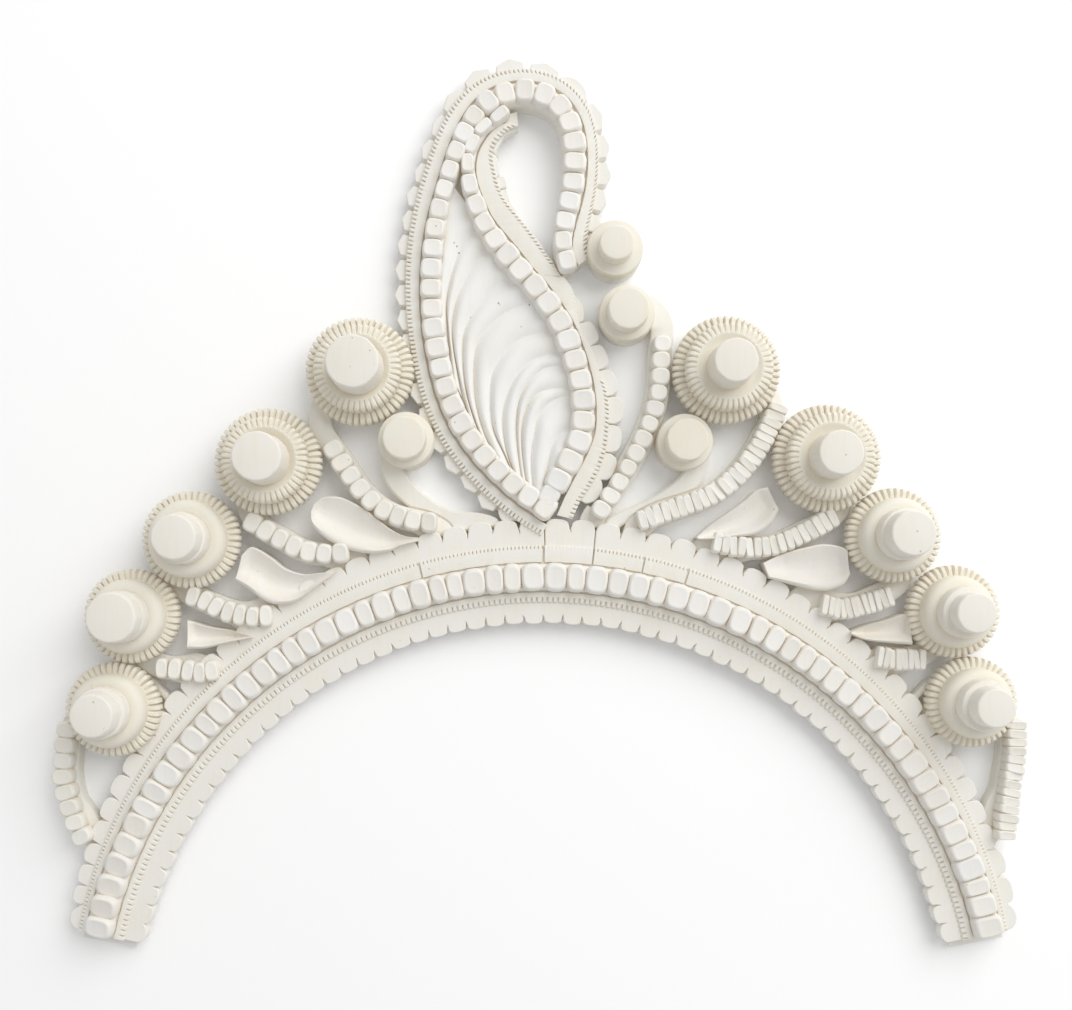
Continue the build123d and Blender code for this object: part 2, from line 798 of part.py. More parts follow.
def crescent_width_at(share):
    return crescent_width + (crescent_tip_width - crescent_width) * share ** 2


for label, head, shape in (("left", left_boss, left_crescent), ("right", right_boss, right_crescent)):
    route = stem_line(head, *shape)
    plan = board_sketch(route, head, boss_radius - piece_gap, crescent_width_at,
                        [head_discs[label, 5], stem_plans[label, 5], crest_stem_plan])
    stem_plans[label, "crescent"] = plan
    slab(f"{label}_crescent", plan, 0, seat_height)


# Petals: hollowed leaves that rise from the band between two stems
def leaf_face(frame, length, width, inset=0.0):
    """A leaf with a blunt end, along the X of a frame, drawn in all round by an inset."""
    tip, end = 2 * inset, length - inset
    edge = [(0, petal_tip_width / 2)]
    edge += [(share, max(petal_tip_width / 4, reach * width / 2 - inset))
             for share, reach in petal_outline]
    edge = [(tip + (end - tip) * share, side) for share, side in edge]
    ring = edge + [(end, 0)] + [(along, -side) for along, side in edge[::-1]]
    corners = [frame.from_local_coords((*point, 0)) for point in ring]
    with BuildSketch() as leaf:
        with BuildLine():
            Spline(*corners)
            Line(corners[0], corners[-1])
        make_face()
    return leaf.face()


def trimmed(face, routes, clearance):
    """A face cut back from the band and, by a clearance, from the stems beside it."""
    with BuildSketch() as kept:
        add(face)
        for route in routes:
            reach = stem_width / 2 + clearance
            add(strip_face(route, constant(-reach), constant(reach)), mode=Mode.SUBTRACT)
        add(band_cut, mode=Mode.SUBTRACT)
    return kept.faces().sort_by(SortBy.AREA)[-1]


def petal(name, tip, heading, length, width, routes):
    frame = Plane(tip, x_dir=(sin(radians(heading)), cos(radians(heading)), 0), z_dir=(0, 0, 1))
    with BuildPart() as piece:
        with BuildSketch():
            add(trimmed(leaf_face(frame, length, width), routes, piece_gap))
        extrude(amount=petal_height)
        with BuildSketch(Plane.XY.offset(petal_height)):
            add(trimmed(leaf_face(frame, length, width, petal_wall), routes, petal_wall))
        extrude(amount=-petal_hollow_depth, mode=Mode.SUBTRACT)
    finish(name, piece)


for label, places, stems, petals in (
    ("left", left_fan, left_stems, left_petals),
    ("right", right_fan, right_stems, right_petals),
):
    for row in petals:
        upper, lower = (polar_angle(places[number]) + stems[number][0]
                        for number in (row["stem"], row["stem"] - 1))
        angle = upper + (lower - upper) * row["tip"]
        tip = polar_point(angle, bead_row_radius + band_reach(angle))
        routes = [stem_routes[label, number] for number in (row["stem"], row["stem"] - 1)]
        petal(f"{label}_petal_{row['number']}", tip, angle + row["heading"], row["length"],
              row["width"] * petal_width, routes)
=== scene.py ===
# %% [markdown]
# # A pith crown, dressed in Blender
# The crown is a flat bridal crown cut from thin sheets of white pith. Its solids come from the
# CAD part as a fixed frame. Each cell below puts a finely cut piece where a plain solid lies. The
# pieces could be modelled freely beside the frame, but read off its solids they never drift apart
# from it.

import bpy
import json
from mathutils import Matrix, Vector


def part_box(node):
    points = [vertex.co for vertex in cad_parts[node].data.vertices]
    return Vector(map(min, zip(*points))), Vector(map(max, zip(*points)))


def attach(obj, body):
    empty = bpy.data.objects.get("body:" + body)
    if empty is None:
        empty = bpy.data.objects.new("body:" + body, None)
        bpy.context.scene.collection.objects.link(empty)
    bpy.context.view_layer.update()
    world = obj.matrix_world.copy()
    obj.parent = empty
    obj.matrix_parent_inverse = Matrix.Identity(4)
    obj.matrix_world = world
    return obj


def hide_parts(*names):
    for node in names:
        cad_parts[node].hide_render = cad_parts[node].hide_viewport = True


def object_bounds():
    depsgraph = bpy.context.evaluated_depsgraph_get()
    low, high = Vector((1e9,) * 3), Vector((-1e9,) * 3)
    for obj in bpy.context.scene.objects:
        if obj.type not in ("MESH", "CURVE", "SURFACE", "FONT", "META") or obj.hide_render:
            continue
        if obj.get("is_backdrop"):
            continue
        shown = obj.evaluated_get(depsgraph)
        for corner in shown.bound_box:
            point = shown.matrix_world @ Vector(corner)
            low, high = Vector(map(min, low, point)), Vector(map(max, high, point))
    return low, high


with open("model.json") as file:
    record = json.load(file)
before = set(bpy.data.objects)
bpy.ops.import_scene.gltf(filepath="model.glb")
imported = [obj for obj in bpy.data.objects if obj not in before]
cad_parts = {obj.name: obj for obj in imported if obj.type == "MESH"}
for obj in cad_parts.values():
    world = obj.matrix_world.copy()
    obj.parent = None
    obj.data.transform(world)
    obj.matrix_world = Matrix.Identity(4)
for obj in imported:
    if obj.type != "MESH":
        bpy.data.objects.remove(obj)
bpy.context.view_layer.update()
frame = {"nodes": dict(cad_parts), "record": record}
print("solids in the frame:", len(frame["nodes"]))

# %% [markdown]
# Everything is measured in millimetres here, as it was cut, and turned into metres at the last
# moment. The real crown lies on its back, so millimetre 0 is the table and the carved front looks
# up at the camera. Its layers share a few heights: the top of the two boards, the seat on which
# beads and strips are glued, and the top of the notched strips.

# %% Tools and units
import bmesh
import bpy
import json
from math import atan2, cos, degrees, pi, radians, sin
from random import Random
from mathutils import Vector
from mathutils.geometry import interpolate_bezier, tessellate_polygon

mm = 0.001
board_top, seat_height, strip_top = 2.0, 4.0, 5.9
string_radius = 111.5
arch_centre = Vector((0, -string_radius))
slot_of = {row["node"]: row["material_slot"] for row in frame["record"]["subparts"]}

# %% [markdown]
# ## The camera
# The photograph looks straight down on the crown from about thirty centimetres. The camera comes
# first because some small pieces are placed by where the photograph shows them: `seen_at` turns a
# place in the picture into millimetres at a height above the table.

# %% Camera
eye = Vector((-5.75, -1.5, 300.0))
picture_width, picture_height = 1072, 1010
lens = bpy.data.cameras.new("photo_camera")
lens.sensor_width = 36
lens.lens = 40.3
lens.shift_x = 0.015
lens.shift_y = 0.073
lens.clip_start = 0.01
camera = bpy.data.objects.new("photo_camera", lens)
camera.location = eye * mm
bpy.context.collection.objects.link(camera)
bpy.context.scene.camera = camera


def seen_at(across, down, height):
    """The place in millimetres, at a height, that shows at a point of the photograph."""
    field = lens.sensor_width / lens.lens
    x = (across / picture_width - 0.5 + lens.shift_x) * field
    y = ((0.5 * picture_height - down) / picture_width + lens.shift_y) * field
    return Vector((eye.x + x * (eye.z - height), eye.y + y * (eye.z - height)))


step = seen_at(501, 500, 0) - seen_at(500, 500, 0)
print("one step of the photograph in mm:", round(step.x, 3))

# %% [markdown]
# ## Bare pith
# Pith is a dead white, dull and very light stem. Three things tell it from plaster: soft cloudy
# patches of warmer and cooler white, faint fibres with tiny pits, and a cream tint wherever light
# has to bounce into a cut. The dark spots of the pits are painted shade, and the cream in the cuts
# is painted bounce light, with painted brown shade and a painted glow in the deepest. Each of the
# three is a node group, so that every finish below can use it with its own amounts. Painted
# textures would show the same spots, but these are worked out from the place on the crown, so they
# never stretch or repeat.

# %% Node group helper
def node_group(name, inputs, outputs):
    """A shader node group with named sockets, and its two end nodes."""
    group = bpy.data.node_groups.new(name, "ShaderNodeTree")
    for label, kind, value in inputs:
        socket = group.interface.new_socket(label, in_out="INPUT", socket_type="NodeSocket" + kind)
        socket.default_value = value
    for label, kind in outputs:
        group.interface.new_socket(label, in_out="OUTPUT", socket_type="NodeSocket" + kind)
    return group, group.nodes.new("NodeGroupInput"), group.nodes.new("NodeGroupOutput")


print("kinds of node group before:", len(bpy.data.node_groups))

# %% [markdown]
# Four more helpers wire up the usual steps of a group or a material: a sum, a mix of colours, a
# smooth step and a noise. Each gives back the socket with its result, so that an effect reads from
# the inside out, like a formula.

# %% Helpers for single nodes
def math_node(group, operation, first, second, clamp=False):
    """A math node fed by sockets or plain numbers, and its result."""
    node = group.nodes.new("ShaderNodeMath")
    node.operation = operation
    node.use_clamp = clamp
    for socket, value in zip(node.inputs, (first, second)):
        if isinstance(value, (int, float)):
            socket.default_value = value
        else:
            group.links.new(value, socket)
    return node.outputs[0]


def mix_colours(group, share, first, second):
    """A colour mix fed by sockets or plain colours, and its result."""
    node = group.nodes.new("ShaderNodeMix")
    node.data_type = "RGBA"
    for label, value in (("Factor_Float", share), ("A_Color", first), ("B_Color", second)):
        socket = next(s for s in node.inputs if s.identifier == label)
        if isinstance(value, (int, float, tuple)):
            socket.default_value = value
        else:
            group.links.new(value, socket)
    return next(s for s in node.outputs if s.identifier == "Result_Color")


def ramp(group, value, low, high):
    """A smooth step of a value, from nought at low to one at high."""
    node = group.nodes.new("ShaderNodeMapRange")
    node.interpolation_type = "SMOOTHSTEP"
    group.links.new(value, node.inputs["Value"])
    node.inputs["From Min"].default_value = low
    node.inputs["From Max"].default_value = high
    return node.outputs["Result"]


def noise_at(group, scale, detail=2.0, stretch=(1, 1, 1)):
    """Noise over the crown's own coordinates, stretched along an axis for fibres."""
    place = group.nodes.new("ShaderNodeTexCoord")
    shape = group.nodes.new("ShaderNodeMapping")
    shape.inputs["Scale"].default_value = stretch
    cloud = group.nodes.new("ShaderNodeTexNoise")
    cloud.inputs["Scale"].default_value = scale
    cloud.inputs["Detail"].default_value = detail
    group.links.new(place.outputs["Object"], shape.inputs["Vector"])
    group.links.new(shape.outputs["Vector"], cloud.inputs["Vector"])
    return cloud.outputs[0]


fibre_stretch = (6, 0.7, 6)
print("fibres are stretched along y by", round(fibre_stretch[0] / fibre_stretch[1], 1))

# %% [markdown]
# The tone group mixes a pale and a warm white. Large noise makes the cloudy patches, stretched
# noise the fibres, and a number that Blender gives to each loose island of a mesh makes every
# bead and blade a little different from its neighbour.

# %% Cloudy patches and fibres
pith_tone, tone_in, tone_out = node_group(
    "pith_tone",
    [("Pale", "Color", (0.9, 0.9, 0.85, 1)), ("Warm", "Color", (0.85, 0.8, 0.68, 1)),
     ("Cloud", "Float", 0.5), ("Fibre", "Float", 0.2)],
    [("Color", "Color")],
)
patches = ramp(pith_tone, noise_at(pith_tone, 110, 3), 0.38, 0.68)
fibres = noise_at(pith_tone, 160, 3, fibre_stretch)
each = pith_tone.nodes.new("ShaderNodeNewGeometry").outputs["Random Per Island"]
cloud_share = math_node(pith_tone, "MULTIPLY", patches, tone_in.outputs["Cloud"])
fibre_share = math_node(pith_tone, "MULTIPLY", ramp(pith_tone, fibres, 0.45, 0.7),
                        tone_in.outputs["Fibre"])
each_share = math_node(pith_tone, "MULTIPLY", each, 0.22)
warm_share = math_node(pith_tone, "ADD", cloud_share, fibre_share)
warm_share = math_node(pith_tone, "ADD", warm_share, each_share, clamp=True)
tone_colour = mix_colours(pith_tone, warm_share, tone_in.outputs["Pale"], tone_in.outputs["Warm"])
pith_tone.links.new(tone_colour, tone_out.inputs["Color"])
print("tone group nodes:", len(pith_tone.nodes))

# %% [markdown]
# Pith is full of fine channels, and where the knife opens one end on, it leaves a pit like a pin
# prick. The pits aren't cut into the mesh: their shade is painted as dark brown spots in the base
# colour. Cells of a Voronoi texture place them, and a second noise keeps them to a few spots.

# %% Tiny pits, their shade painted
# The mask says where the painted pit shade goes.
pith_pits, pits_in, pits_out = node_group(
    "pith_pits", [("Amount", "Float", 0.5)], [("Mask", "Float")])
cells = pith_pits.nodes.new("ShaderNodeTexVoronoi")
cells.inputs["Scale"].default_value = 420
pit_place = pith_pits.nodes.new("ShaderNodeTexCoord")
pith_pits.links.new(pit_place.outputs["Object"], cells.inputs["Vector"])
beyond_pit = ramp(pith_pits, cells.outputs["Distance"], 0.05, 0.13)
near_pit = math_node(pith_pits, "SUBTRACT", 1.0, beyond_pit)
some_places = ramp(pith_pits, noise_at(pith_pits, 260, 1), 0.62, 0.67)
pit_mask = math_node(pith_pits, "MULTIPLY", near_pit, some_places)
pit_mask = math_node(pith_pits, "MULTIPLY", pit_mask, pits_in.outputs["Amount"])
pith_pits.links.new(pit_mask, pits_out.inputs["Mask"])
print("pit group nodes:", len(pith_pits.nodes))

# %% [markdown]
# Light that reaches the bottom of a narrow cut has bounced between walls of pith and comes back
# cream. Here that light and shade are painted: an ambient occlusion node measures how shut in a
# spot is, and smooth steps turn that into a wide shallow tint of painted cream bounce light, a
# narrow deep one of painted brown shade and a painted glow, an emission that stands in for light
# soaking through the thin walls of airy pith, so that no cut is ever really dark.

# %% Painted cream light and shade in the cuts
painted_cut_light_shade, shade_in, shade_out = node_group(
    "painted_cut_light_shade", [("Reach", "Float", 0.002)],
    [("Shallow", "Float"), ("Deep", "Float"), ("Glow", "Float")])
hollow = painted_cut_light_shade.nodes.new("ShaderNodeAmbientOcclusion")
hollow.samples = 4
painted_cut_light_shade.links.new(shade_in.outputs["Reach"], hollow.inputs["Distance"])
shut_in = math_node(painted_cut_light_shade, "SUBTRACT", 1.0, hollow.outputs["AO"])
painted_cut_light_shade.links.new(ramp(painted_cut_light_shade, shut_in, 0.22, 0.80), shade_out.inputs["Shallow"])
painted_cut_light_shade.links.new(ramp(painted_cut_light_shade, shut_in, 0.62, 0.97), shade_out.inputs["Deep"])
painted_cut_light_shade.links.new(ramp(painted_cut_light_shade, shut_in, 0.15, 0.95), shade_out.inputs["Glow"])
print("shade group nodes:", len(painted_cut_light_shade.nodes))

# %% [markdown]
# The last group is relief: long fibres and a fine grain, as one height for a bump. Both are far
# finer than any mesh here, and only their effect on the light can be seen, so a bump is enough.

# %% Fine relief
pith_relief, relief_in, relief_out = node_group(
    "pith_relief", [("Fibre", "Float", 0.5), ("Grain", "Float", 0.5)], [("Height", "Float")])
fibre_rise = math_node(pith_relief, "MULTIPLY", noise_at(pith_relief, 260, 3, fibre_stretch),
                       relief_in.outputs["Fibre"])
grain_rise = math_node(pith_relief, "MULTIPLY", noise_at(pith_relief, 1500, 2),
                       relief_in.outputs["Grain"])
rise = math_node(pith_relief, "ADD", fibre_rise, grain_rise)
pith_relief.links.new(rise, relief_out.inputs["Height"])
print("relief group nodes:", len(pith_relief.nodes))

# %% [markdown]
# ## Finishes
# One recipe makes every finish: tone, the painted pit shade and the painted cut light and shade
# feed the base colour, the painted glow feeds the emission, and the relief feeds a bump. The four
# groups are placed in each finish with that finish's own amounts, and the shader itself stays
# outside them, so it can be baked.

# %% The pith recipe
# Painted light and shade: cream bounce light and brown shade in the cuts, dark brown shade in the pits,
# and a faint emitted glow.
painted_bounce_cream = (0.76, 0.69, 0.56, 1)
painted_deep_shade = (0.50, 0.43, 0.33, 1)
painted_pit_shade = (0.16, 0.11, 0.07, 1)
painted_soak_glow = (0.085, 0.078, 0.066, 1)
fine_grain = 0.5


def pith(name, pale, warm, cloud, fibre, pits=0.5, painted_cream_amount=0.5):
    """A finish of bare pith; painted_cream_amount says how much painted cream bounce light its shallow
    cuts get.
    """
    finish = bpy.data.materials.new(name)
    finish.use_nodes = True
    finish.cycles.emission_sampling = "NONE"
    tree = finish.node_tree
    shader = tree.nodes["Principled BSDF"]
    groups = {}
    for group in (pith_tone, pith_pits, painted_cut_light_shade, pith_relief):
        groups[group.name] = tree.nodes.new("ShaderNodeGroup")
        groups[group.name].node_tree = group
    tone, shade, relief = (groups[key] for key in ("pith_tone", "painted_cut_light_shade", "pith_relief"))
    tone.inputs["Pale"].default_value = (*pale, 1)
    tone.inputs["Warm"].default_value = (*warm, 1)
    tone.inputs["Cloud"].default_value = cloud
    tone.inputs["Fibre"].default_value = fibre
    groups["pith_pits"].inputs["Amount"].default_value = pits
    relief.inputs["Fibre"].default_value = fibre
    relief.inputs["Grain"].default_value = fine_grain
    # Painted light and shade go into the base colour: cream bounce light in shallow cuts, brown shade in
    # deep ones and dark shade in the pits.
    painted_cream_share = math_node(tree, "MULTIPLY", shade.outputs["Shallow"], painted_cream_amount)
    colour = mix_colours(tree, painted_cream_share, tone.outputs["Color"], painted_bounce_cream)
    colour = mix_colours(tree, shade.outputs["Deep"], colour, painted_deep_shade)
    colour = mix_colours(tree, groups["pith_pits"].outputs["Mask"], colour, painted_pit_shade)
    tree.links.new(colour, shader.inputs["Base Color"])
    # Painted glow: emission in shut-in spots stands in for light soaking through the thin walls.
    painted_glow = mix_colours(tree, shade.outputs["Glow"], (0, 0, 0, 1), painted_soak_glow)
    tree.links.new(painted_glow, shader.inputs["Emission Color"])
    shader.inputs["Emission Strength"].default_value = 1.0
    bump = tree.nodes.new("ShaderNodeBump")
    bump.inputs["Strength"].default_value = 0.35
    bump.inputs["Distance"].default_value = 0.15 * mm
    tree.links.new(relief.outputs["Height"], bump.inputs["Height"])
    tree.links.new(bump.outputs["Normal"], shader.inputs["Normal"])
    shader.inputs["Roughness"].default_value = 0.88
    shader.inputs["Specular IOR Level"].default_value = 0.2
    return finish


# The painted bounce light and painted shade colours of a cut.
print("colours of a cut, from shallow to deep:", painted_bounce_cream[:3], painted_deep_shade[:3])

# %% [markdown]
# Sheets, beads, blades and turned discs differ in how warm they are and how much fibre shows, as
# they do on the real crown, where each was cut from another stem, and in how much painted cream
# bounce light their cuts get. The discs are the warmest, and the leaf, pared from the heart of a
# stem, has the most pits.

# %% The ten finishes
ivory, cool, cream = (0.80, 0.78, 0.73), (0.82, 0.815, 0.80), (0.78, 0.73, 0.62)
# Each finish's last number sets how much painted cream bounce light its shallow cuts get.
finishes = {
    "pith_board": pith("board_pith", cool, ivory, 0.6, 0.3, painted_cream_amount=0.35),
    "pith_scallop": pith("sheet_pith", (0.81, 0.80, 0.77), cream, 0.2, 0.2, painted_cream_amount=0.3),
    "pith_strip": pith("strip_pith", (0.81, 0.80, 0.76), cream, 0.2, 0.2, painted_cream_amount=0.3),
    "pith_bead": pith("bead_pith", (0.81, 0.795, 0.77), cream, 0.15, 0.25, painted_cream_amount=0.3),
    "pith_shell": pith("blade_pith", cool, ivory, 0.5, 0.35, pits=0.9, painted_cream_amount=0.05),
    "pith_rosette": pith("disc_pith", (0.79, 0.76, 0.67), cream, 0.4, 0.2, painted_cream_amount=0.6),
    "pith_cap": pith("cap_pith", (0.80, 0.775, 0.72), cream, 0.25, 0.35, painted_cream_amount=0.4),
    "pith_boss": pith("button_pith", (0.79, 0.765, 0.68), cream, 0.5, 0.35, painted_cream_amount=0.4),
    "pith_stem": pith("stem_pith", (0.81, 0.80, 0.76), cream, 0.25, 0.25, painted_cream_amount=0.4),
    "pith_petal": pith("petal_pith", (0.81, 0.79, 0.76), cream, 0.3, 0.3, painted_cream_amount=0.3),
}
print("finishes:", len(finishes))

# %% [markdown]
# ## Cutting pieces
# A piece is a list of corners in millimetres and a list of faces. `make_piece` turns one into a
# mesh that rides with the crown and stands for the solids it covers. Modifiers could round its
# edges afterwards, but every rim here is already shaped point by point, and stays under control.

# %% Make a piece
def make_piece(name, shape, nodes, crease=40):
    """A mesh piece that stands for solids of the frame; edges sharper than crease stay crisp."""
    corners, faces = shape
    mesh = bpy.data.meshes.new(name)
    mesh.from_pydata([Vector(corner) * mm for corner in corners], [], faces)
    outward = bmesh.new()
    outward.from_mesh(mesh)
    bmesh.ops.recalc_face_normals(outward, faces=outward.faces)
    outward.to_mesh(mesh)
    outward.free()
    mesh.shade_smooth()
    mesh.set_sharp_from_angle(angle=radians(crease))
    mesh.materials.append(finishes[slot_of[nodes[0]]])
    piece = bpy.data.objects.new(name, mesh)
    bpy.context.collection.objects.link(piece)
    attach(piece, "root")
    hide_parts(*nodes)
    print(name, len(mesh.polygons), "faces")


print("materials to choose from:", len(finishes))

# %% [markdown]
# Two helpers build most shapes. `joined` gathers many small shapes, such as the beads of one
# string, into one piece. `lofted` skins a tube through rows of points, which suits anything long
# whose section changes on the way: a strip, a blade, a petal.

# %% Join and loft
def joined(shapes):
    """Several shapes as one."""
    corners, faces = [], []
    for some_corners, some_faces in shapes:
        first = len(corners)
        corners += some_corners
        faces += [tuple(first + corner for corner in face) for face in some_faces]
    return corners, faces


def lofted(rows):
    """A closed tube through rows of the same number of points, with its two ends filled."""
    count = len(rows[0])
    corners = [point for row in rows for point in row]
    faces = [tuple(range(count)), tuple(range(len(corners) - count, len(corners)))]
    for row in range(len(rows) - 1):
        for here in range(count):
            after = (here + 1) % count
            low, high = row * count, (row + 1) * count
            faces.append((low + here, low + after, high + after, high + here))
    return corners, faces


triangle = [(0, 0, 0), (1, 0, 0), (0, 1, 0)]
print("faces of a small tube:", len(lofted([triangle, [(x, y, 1) for x, y, _ in triangle]])[1]))

# %% [markdown]
# The frame's solids are read for their outlines. A cut sheet is a flat shape with straight walls,
# so the edges round its flat underside are its outline, and they are chained into closed loops.
# Drawing the outlines again from numbers would work too, but would have to be kept in step.

# %% Read a solid's outline
def solid(node):
    """A solid's corners in millimetres, each once, and its faces."""
    mesh = frame["nodes"][node].data
    index, corners, shared = {}, [], []
    for vertex in mesh.vertices:
        place = tuple(round(value / mm, 3) for value in vertex.co)
        if place not in index:
            index[place] = len(corners)
            corners.append(Vector(place))
        shared.append(index[place])
    return corners, [tuple(shared[corner] for corner in face.vertices) for face in mesh.polygons]


def area_of(loop):
    """The area inside a loop, positive where it runs anticlockwise."""
    return sum(a.x * b.y - b.x * a.y for a, b in zip(loop, loop[1:] + loop[:1])) / 2


def outline_of(node, level):
    """The largest closed outline of a solid's flat faces at a height."""
    corners, faces = solid(node)
    flat = [face for face in faces if all(abs(corners[c].z - level) < 0.01 for c in face)]
    edges = {(a, b) for face in flat for a, b in zip(face, face[1:] + face[:1])}
    onward = {a: b for a, b in edges if (b, a) not in edges}
    loops = []
    while onward:
        here = next(iter(onward))
        loop = []
        while here in onward:
            loop.append(corners[here].to_2d())
            here = onward.pop(here)
        loops.append(loop if area_of(loop) > 0 else loop[::-1])
    return max(loops, key=area_of)


def turn_at(before, here, after):
    """How sharply a line turns at a point, in degrees, to the left where positive."""
    into, out = here - before, after - here
    return degrees(atan2(into.x * out.y - into.y * out.x, into.dot(out)))


print("outline of the board:", len(outline_of("band_board", 0)), "points")

# %% [markdown]
# A plate is a sheet between two heights. Its upper and lower outlines have matching points, so a
# wall can lean where the knife was held at a slant, and its upper edge is broken by a small
# chamfer, as pith crumbles a little wherever it is cut.

# %% Cut a plate
def drawn_in(loop, by):
    """An anticlockwise outline with every point moved inwards."""
    moved = []
    for here, point in enumerate(loop):
        into = (point - loop[here - 1]).normalized()
        out = (loop[(here + 1) % len(loop)] - point).normalized()
        first, second = Vector((-into.y, into.x)), Vector((-out.y, out.x))
        middle = first + second
        if middle.length < 0.2:
            moved.append(point)
        else:
            middle.normalize()
            moved.append(point + middle * by / max(0.6, middle.dot(first)))
    return moved


def plate(top_loop, bottom_loop, bottom, top, rim=0.2):
    """A sheet with matching upper and lower outlines, both anticlockwise."""
    count = len(top_loop)
    inner = drawn_in(top_loop, rim)
    fill = tessellate_polygon([[Vector((*point, 0)) for point in inner]])
    corners = [(*point, bottom) for point in bottom_loop]
    corners += [(*point, top - rim) for point in top_loop] + [(*point, top) for point in inner]
    faces = []
    for a, b, c in fill:
        if area_of([inner[corner] for corner in (a, b, c)]) < 0:
            b, c = c, b
        faces += [(a + 2 * count, b + 2 * count, c + 2 * count), (c, b, a)]
    for low in (0, count):
        for here in range(count):
            after = (here + 1) % count
            faces.append((low + here, low + after, low + after + count, low + here + count))
    return corners, faces


test_square = [Vector(corner) for corner in ((0, 0), (1, 0), (1, 1), (0, 1))]
print("faces of a square plate:", len(plate(test_square, test_square, 0, 1)[1]))

# %% [markdown]
# ## Scalloped sheets
# The edges of the band and the crest are rows of round tabs. On the real crown each tab is cut
# with a curved blade, and the knife runs on a little past the valley, which leaves a fine dark
# slit between tabs. Here the valleys of the solid's outline are found by how sharply it turns,
# and every tab between two valleys is cut again, fuller and a little uneven. Where the band has
# cracked in two, near the top, the slit runs right through. A boolean cut at each valley would do
# the same more slowly; new points in the outline give the slits at once.

# %% Shapes of tabs and slits
valley_turn = -35
points_in_tab = 11


def polar_angle(place):
    """Degrees from the top of the arch, to the right where positive."""
    return degrees(atan2(place.x - arch_centre.x, place.y - arch_centre.y))


def round_tab(share):
    """Height of a round tab at a share of its width."""
    return (1 - abs(2 * share - 1) ** 2.6) ** (1 / 2.2)


def pointed_tab(share):
    """Height of a five-sided tab at a share of its width."""
    side = 1 - abs(2 * share - 1)
    return min(side / 0.16 * 0.55, 0.55 + (side - 0.16) / 0.84 * 0.45)


def slit(valley, left, right, depth, width, lean, fill):
    """A fine wedge cut on from a valley: points of the upper and of the lower outline."""
    towards_left, towards_right = (left - valley).normalized(), (right - valley).normalized()
    inward = -(towards_left + towards_right).normalized()
    across = Vector((-inward.y, inward.x))
    if across.dot(towards_left) < 0:
        across = -across
    tip = valley + inward * depth + across * lean
    middle = (valley + tip) / 2 + across * lean * 0.3
    upper = [valley + across * width / 2, middle + across * width / 3, tip,
             middle - across * width / 3, valley - across * width / 2]
    filled = valley - inward * fill
    lower = [filled + (point - valley) * 0.15 for point in upper]
    return upper, lower


print("height of a round tab at a quarter of its width:", round(round_tab(0.25), 2))

# %% [markdown]
# The slits are filled a little at their foot, because pith springs back behind the knife. Tabs that
# are wider or taller than a tab can be are the ends of the sheet, and they stay as they are.

# %% Cut the tabs again
crack_depth = 7.5
widest_tab = 9.0


def cracked_at(place):
    """How deep a crack runs into the sheet at a place: through it near two spots of the band."""
    near = min(abs(polar_angle(place) - spot) for spot in (0.1, 6.0))
    return crack_depth if near < 1.3 and (place - arch_centre).length > 112 else 0


def recut(loop, tab, rise, slit_depth, slit_width, unevenness, dice, fill=0.5):
    """An outline with each tab cut again between valleys, with a slit at every valley."""
    count = len(loop)
    turns = [turn_at(loop[i - 1], loop[i], loop[(i + 1) % count]) for i in range(count)]
    valleys = [i for i in range(count) if turns[i] < valley_turn]
    upper, lower = [], []
    for start, stop in zip(valleys, valleys[1:] + valleys[:1]):
        run = [loop[(start + step) % count] for step in range((stop - start) % count + 1)]
        chord = run[-1] - run[0]
        away = Vector((chord.y, -chord.x)).normalized()
        tip = max((point - run[0]).dot(away) for point in run)
        plain = chord.length > widest_tab or tip > 0.55 * chord.length
        if plain:
            upper += run[1:-1]
            lower += run[1:-1]
        else:
            tip *= rise * (1 + dice.uniform(-unevenness, unevenness))
            skew = dice.uniform(-0.05, 0.05)
            for step in range(1, points_in_tab + 1):
                share = step / (points_in_tab + 1)
                share += skew * sin(pi * share)
                point = run[0] + chord * share + away * tip * tab(share)
                upper.append(point)
                lower.append(point)
        end = loop[stop]
        depth = max(slit_depth * dice.uniform(0.6, 1.3), cracked_at(end))
        if plain:
            upper.append(end)
            lower.append(end)
        else:
            some_upper, some_lower = slit(end, run[-2], loop[(stop + 1) % count], depth, slit_width,
                                          dice.uniform(-0.3, 0.3), fill)
            upper += some_upper
            lower += some_lower
    return upper, lower


print("a crack at the top of the band runs in, in mm:", cracked_at(Vector((0, 9))))

# %% [markdown]
# The two cracks of the band run between tabs. The tabs of the solid are set out evenly, so the
# whole outer row slides along the arch by a part of a tab to bring its valleys to the cracks, and
# stays where it is at the feet.

# %% Tabs of the band
tab_top = 5.2
outer_row_radius = 118
row_slide = -1.35


def slid(loop, by):
    """The outer edge of a band's outline slid along the arch by some degrees, its ends kept."""
    moved = []
    for point in loop:
        reach, angle = (point - arch_centre).length, polar_angle(point)
        if reach > outer_row_radius:
            angle = radians(angle + by * min(1.0, max(0.0, (77 - abs(angle)) / 12)))
            point = arch_centre + Vector((sin(angle), cos(angle))) * reach
        moved.append(point)
    return moved


dice = Random(11)
band_rows = (("band_outer_scallops", 1.0, 1.15), ("band_inner_scallops", 0.7, 1.2))
for node, slit_depth, rise in band_rows:
    loop = slid(outline_of(node, board_top), row_slide)
    shape = plate(*recut(loop, round_tab, rise, slit_depth, 0.26, 0.10, dice), board_top, tab_top)
    make_piece(node + "_cut", shape, [node])

# %% [markdown]
# The crest's left edge has five-sided tabs with a V cut between them at a slant, which shows as a
# small grey facet. The margin on its right has smaller ones that nearly vanish beside the hole.

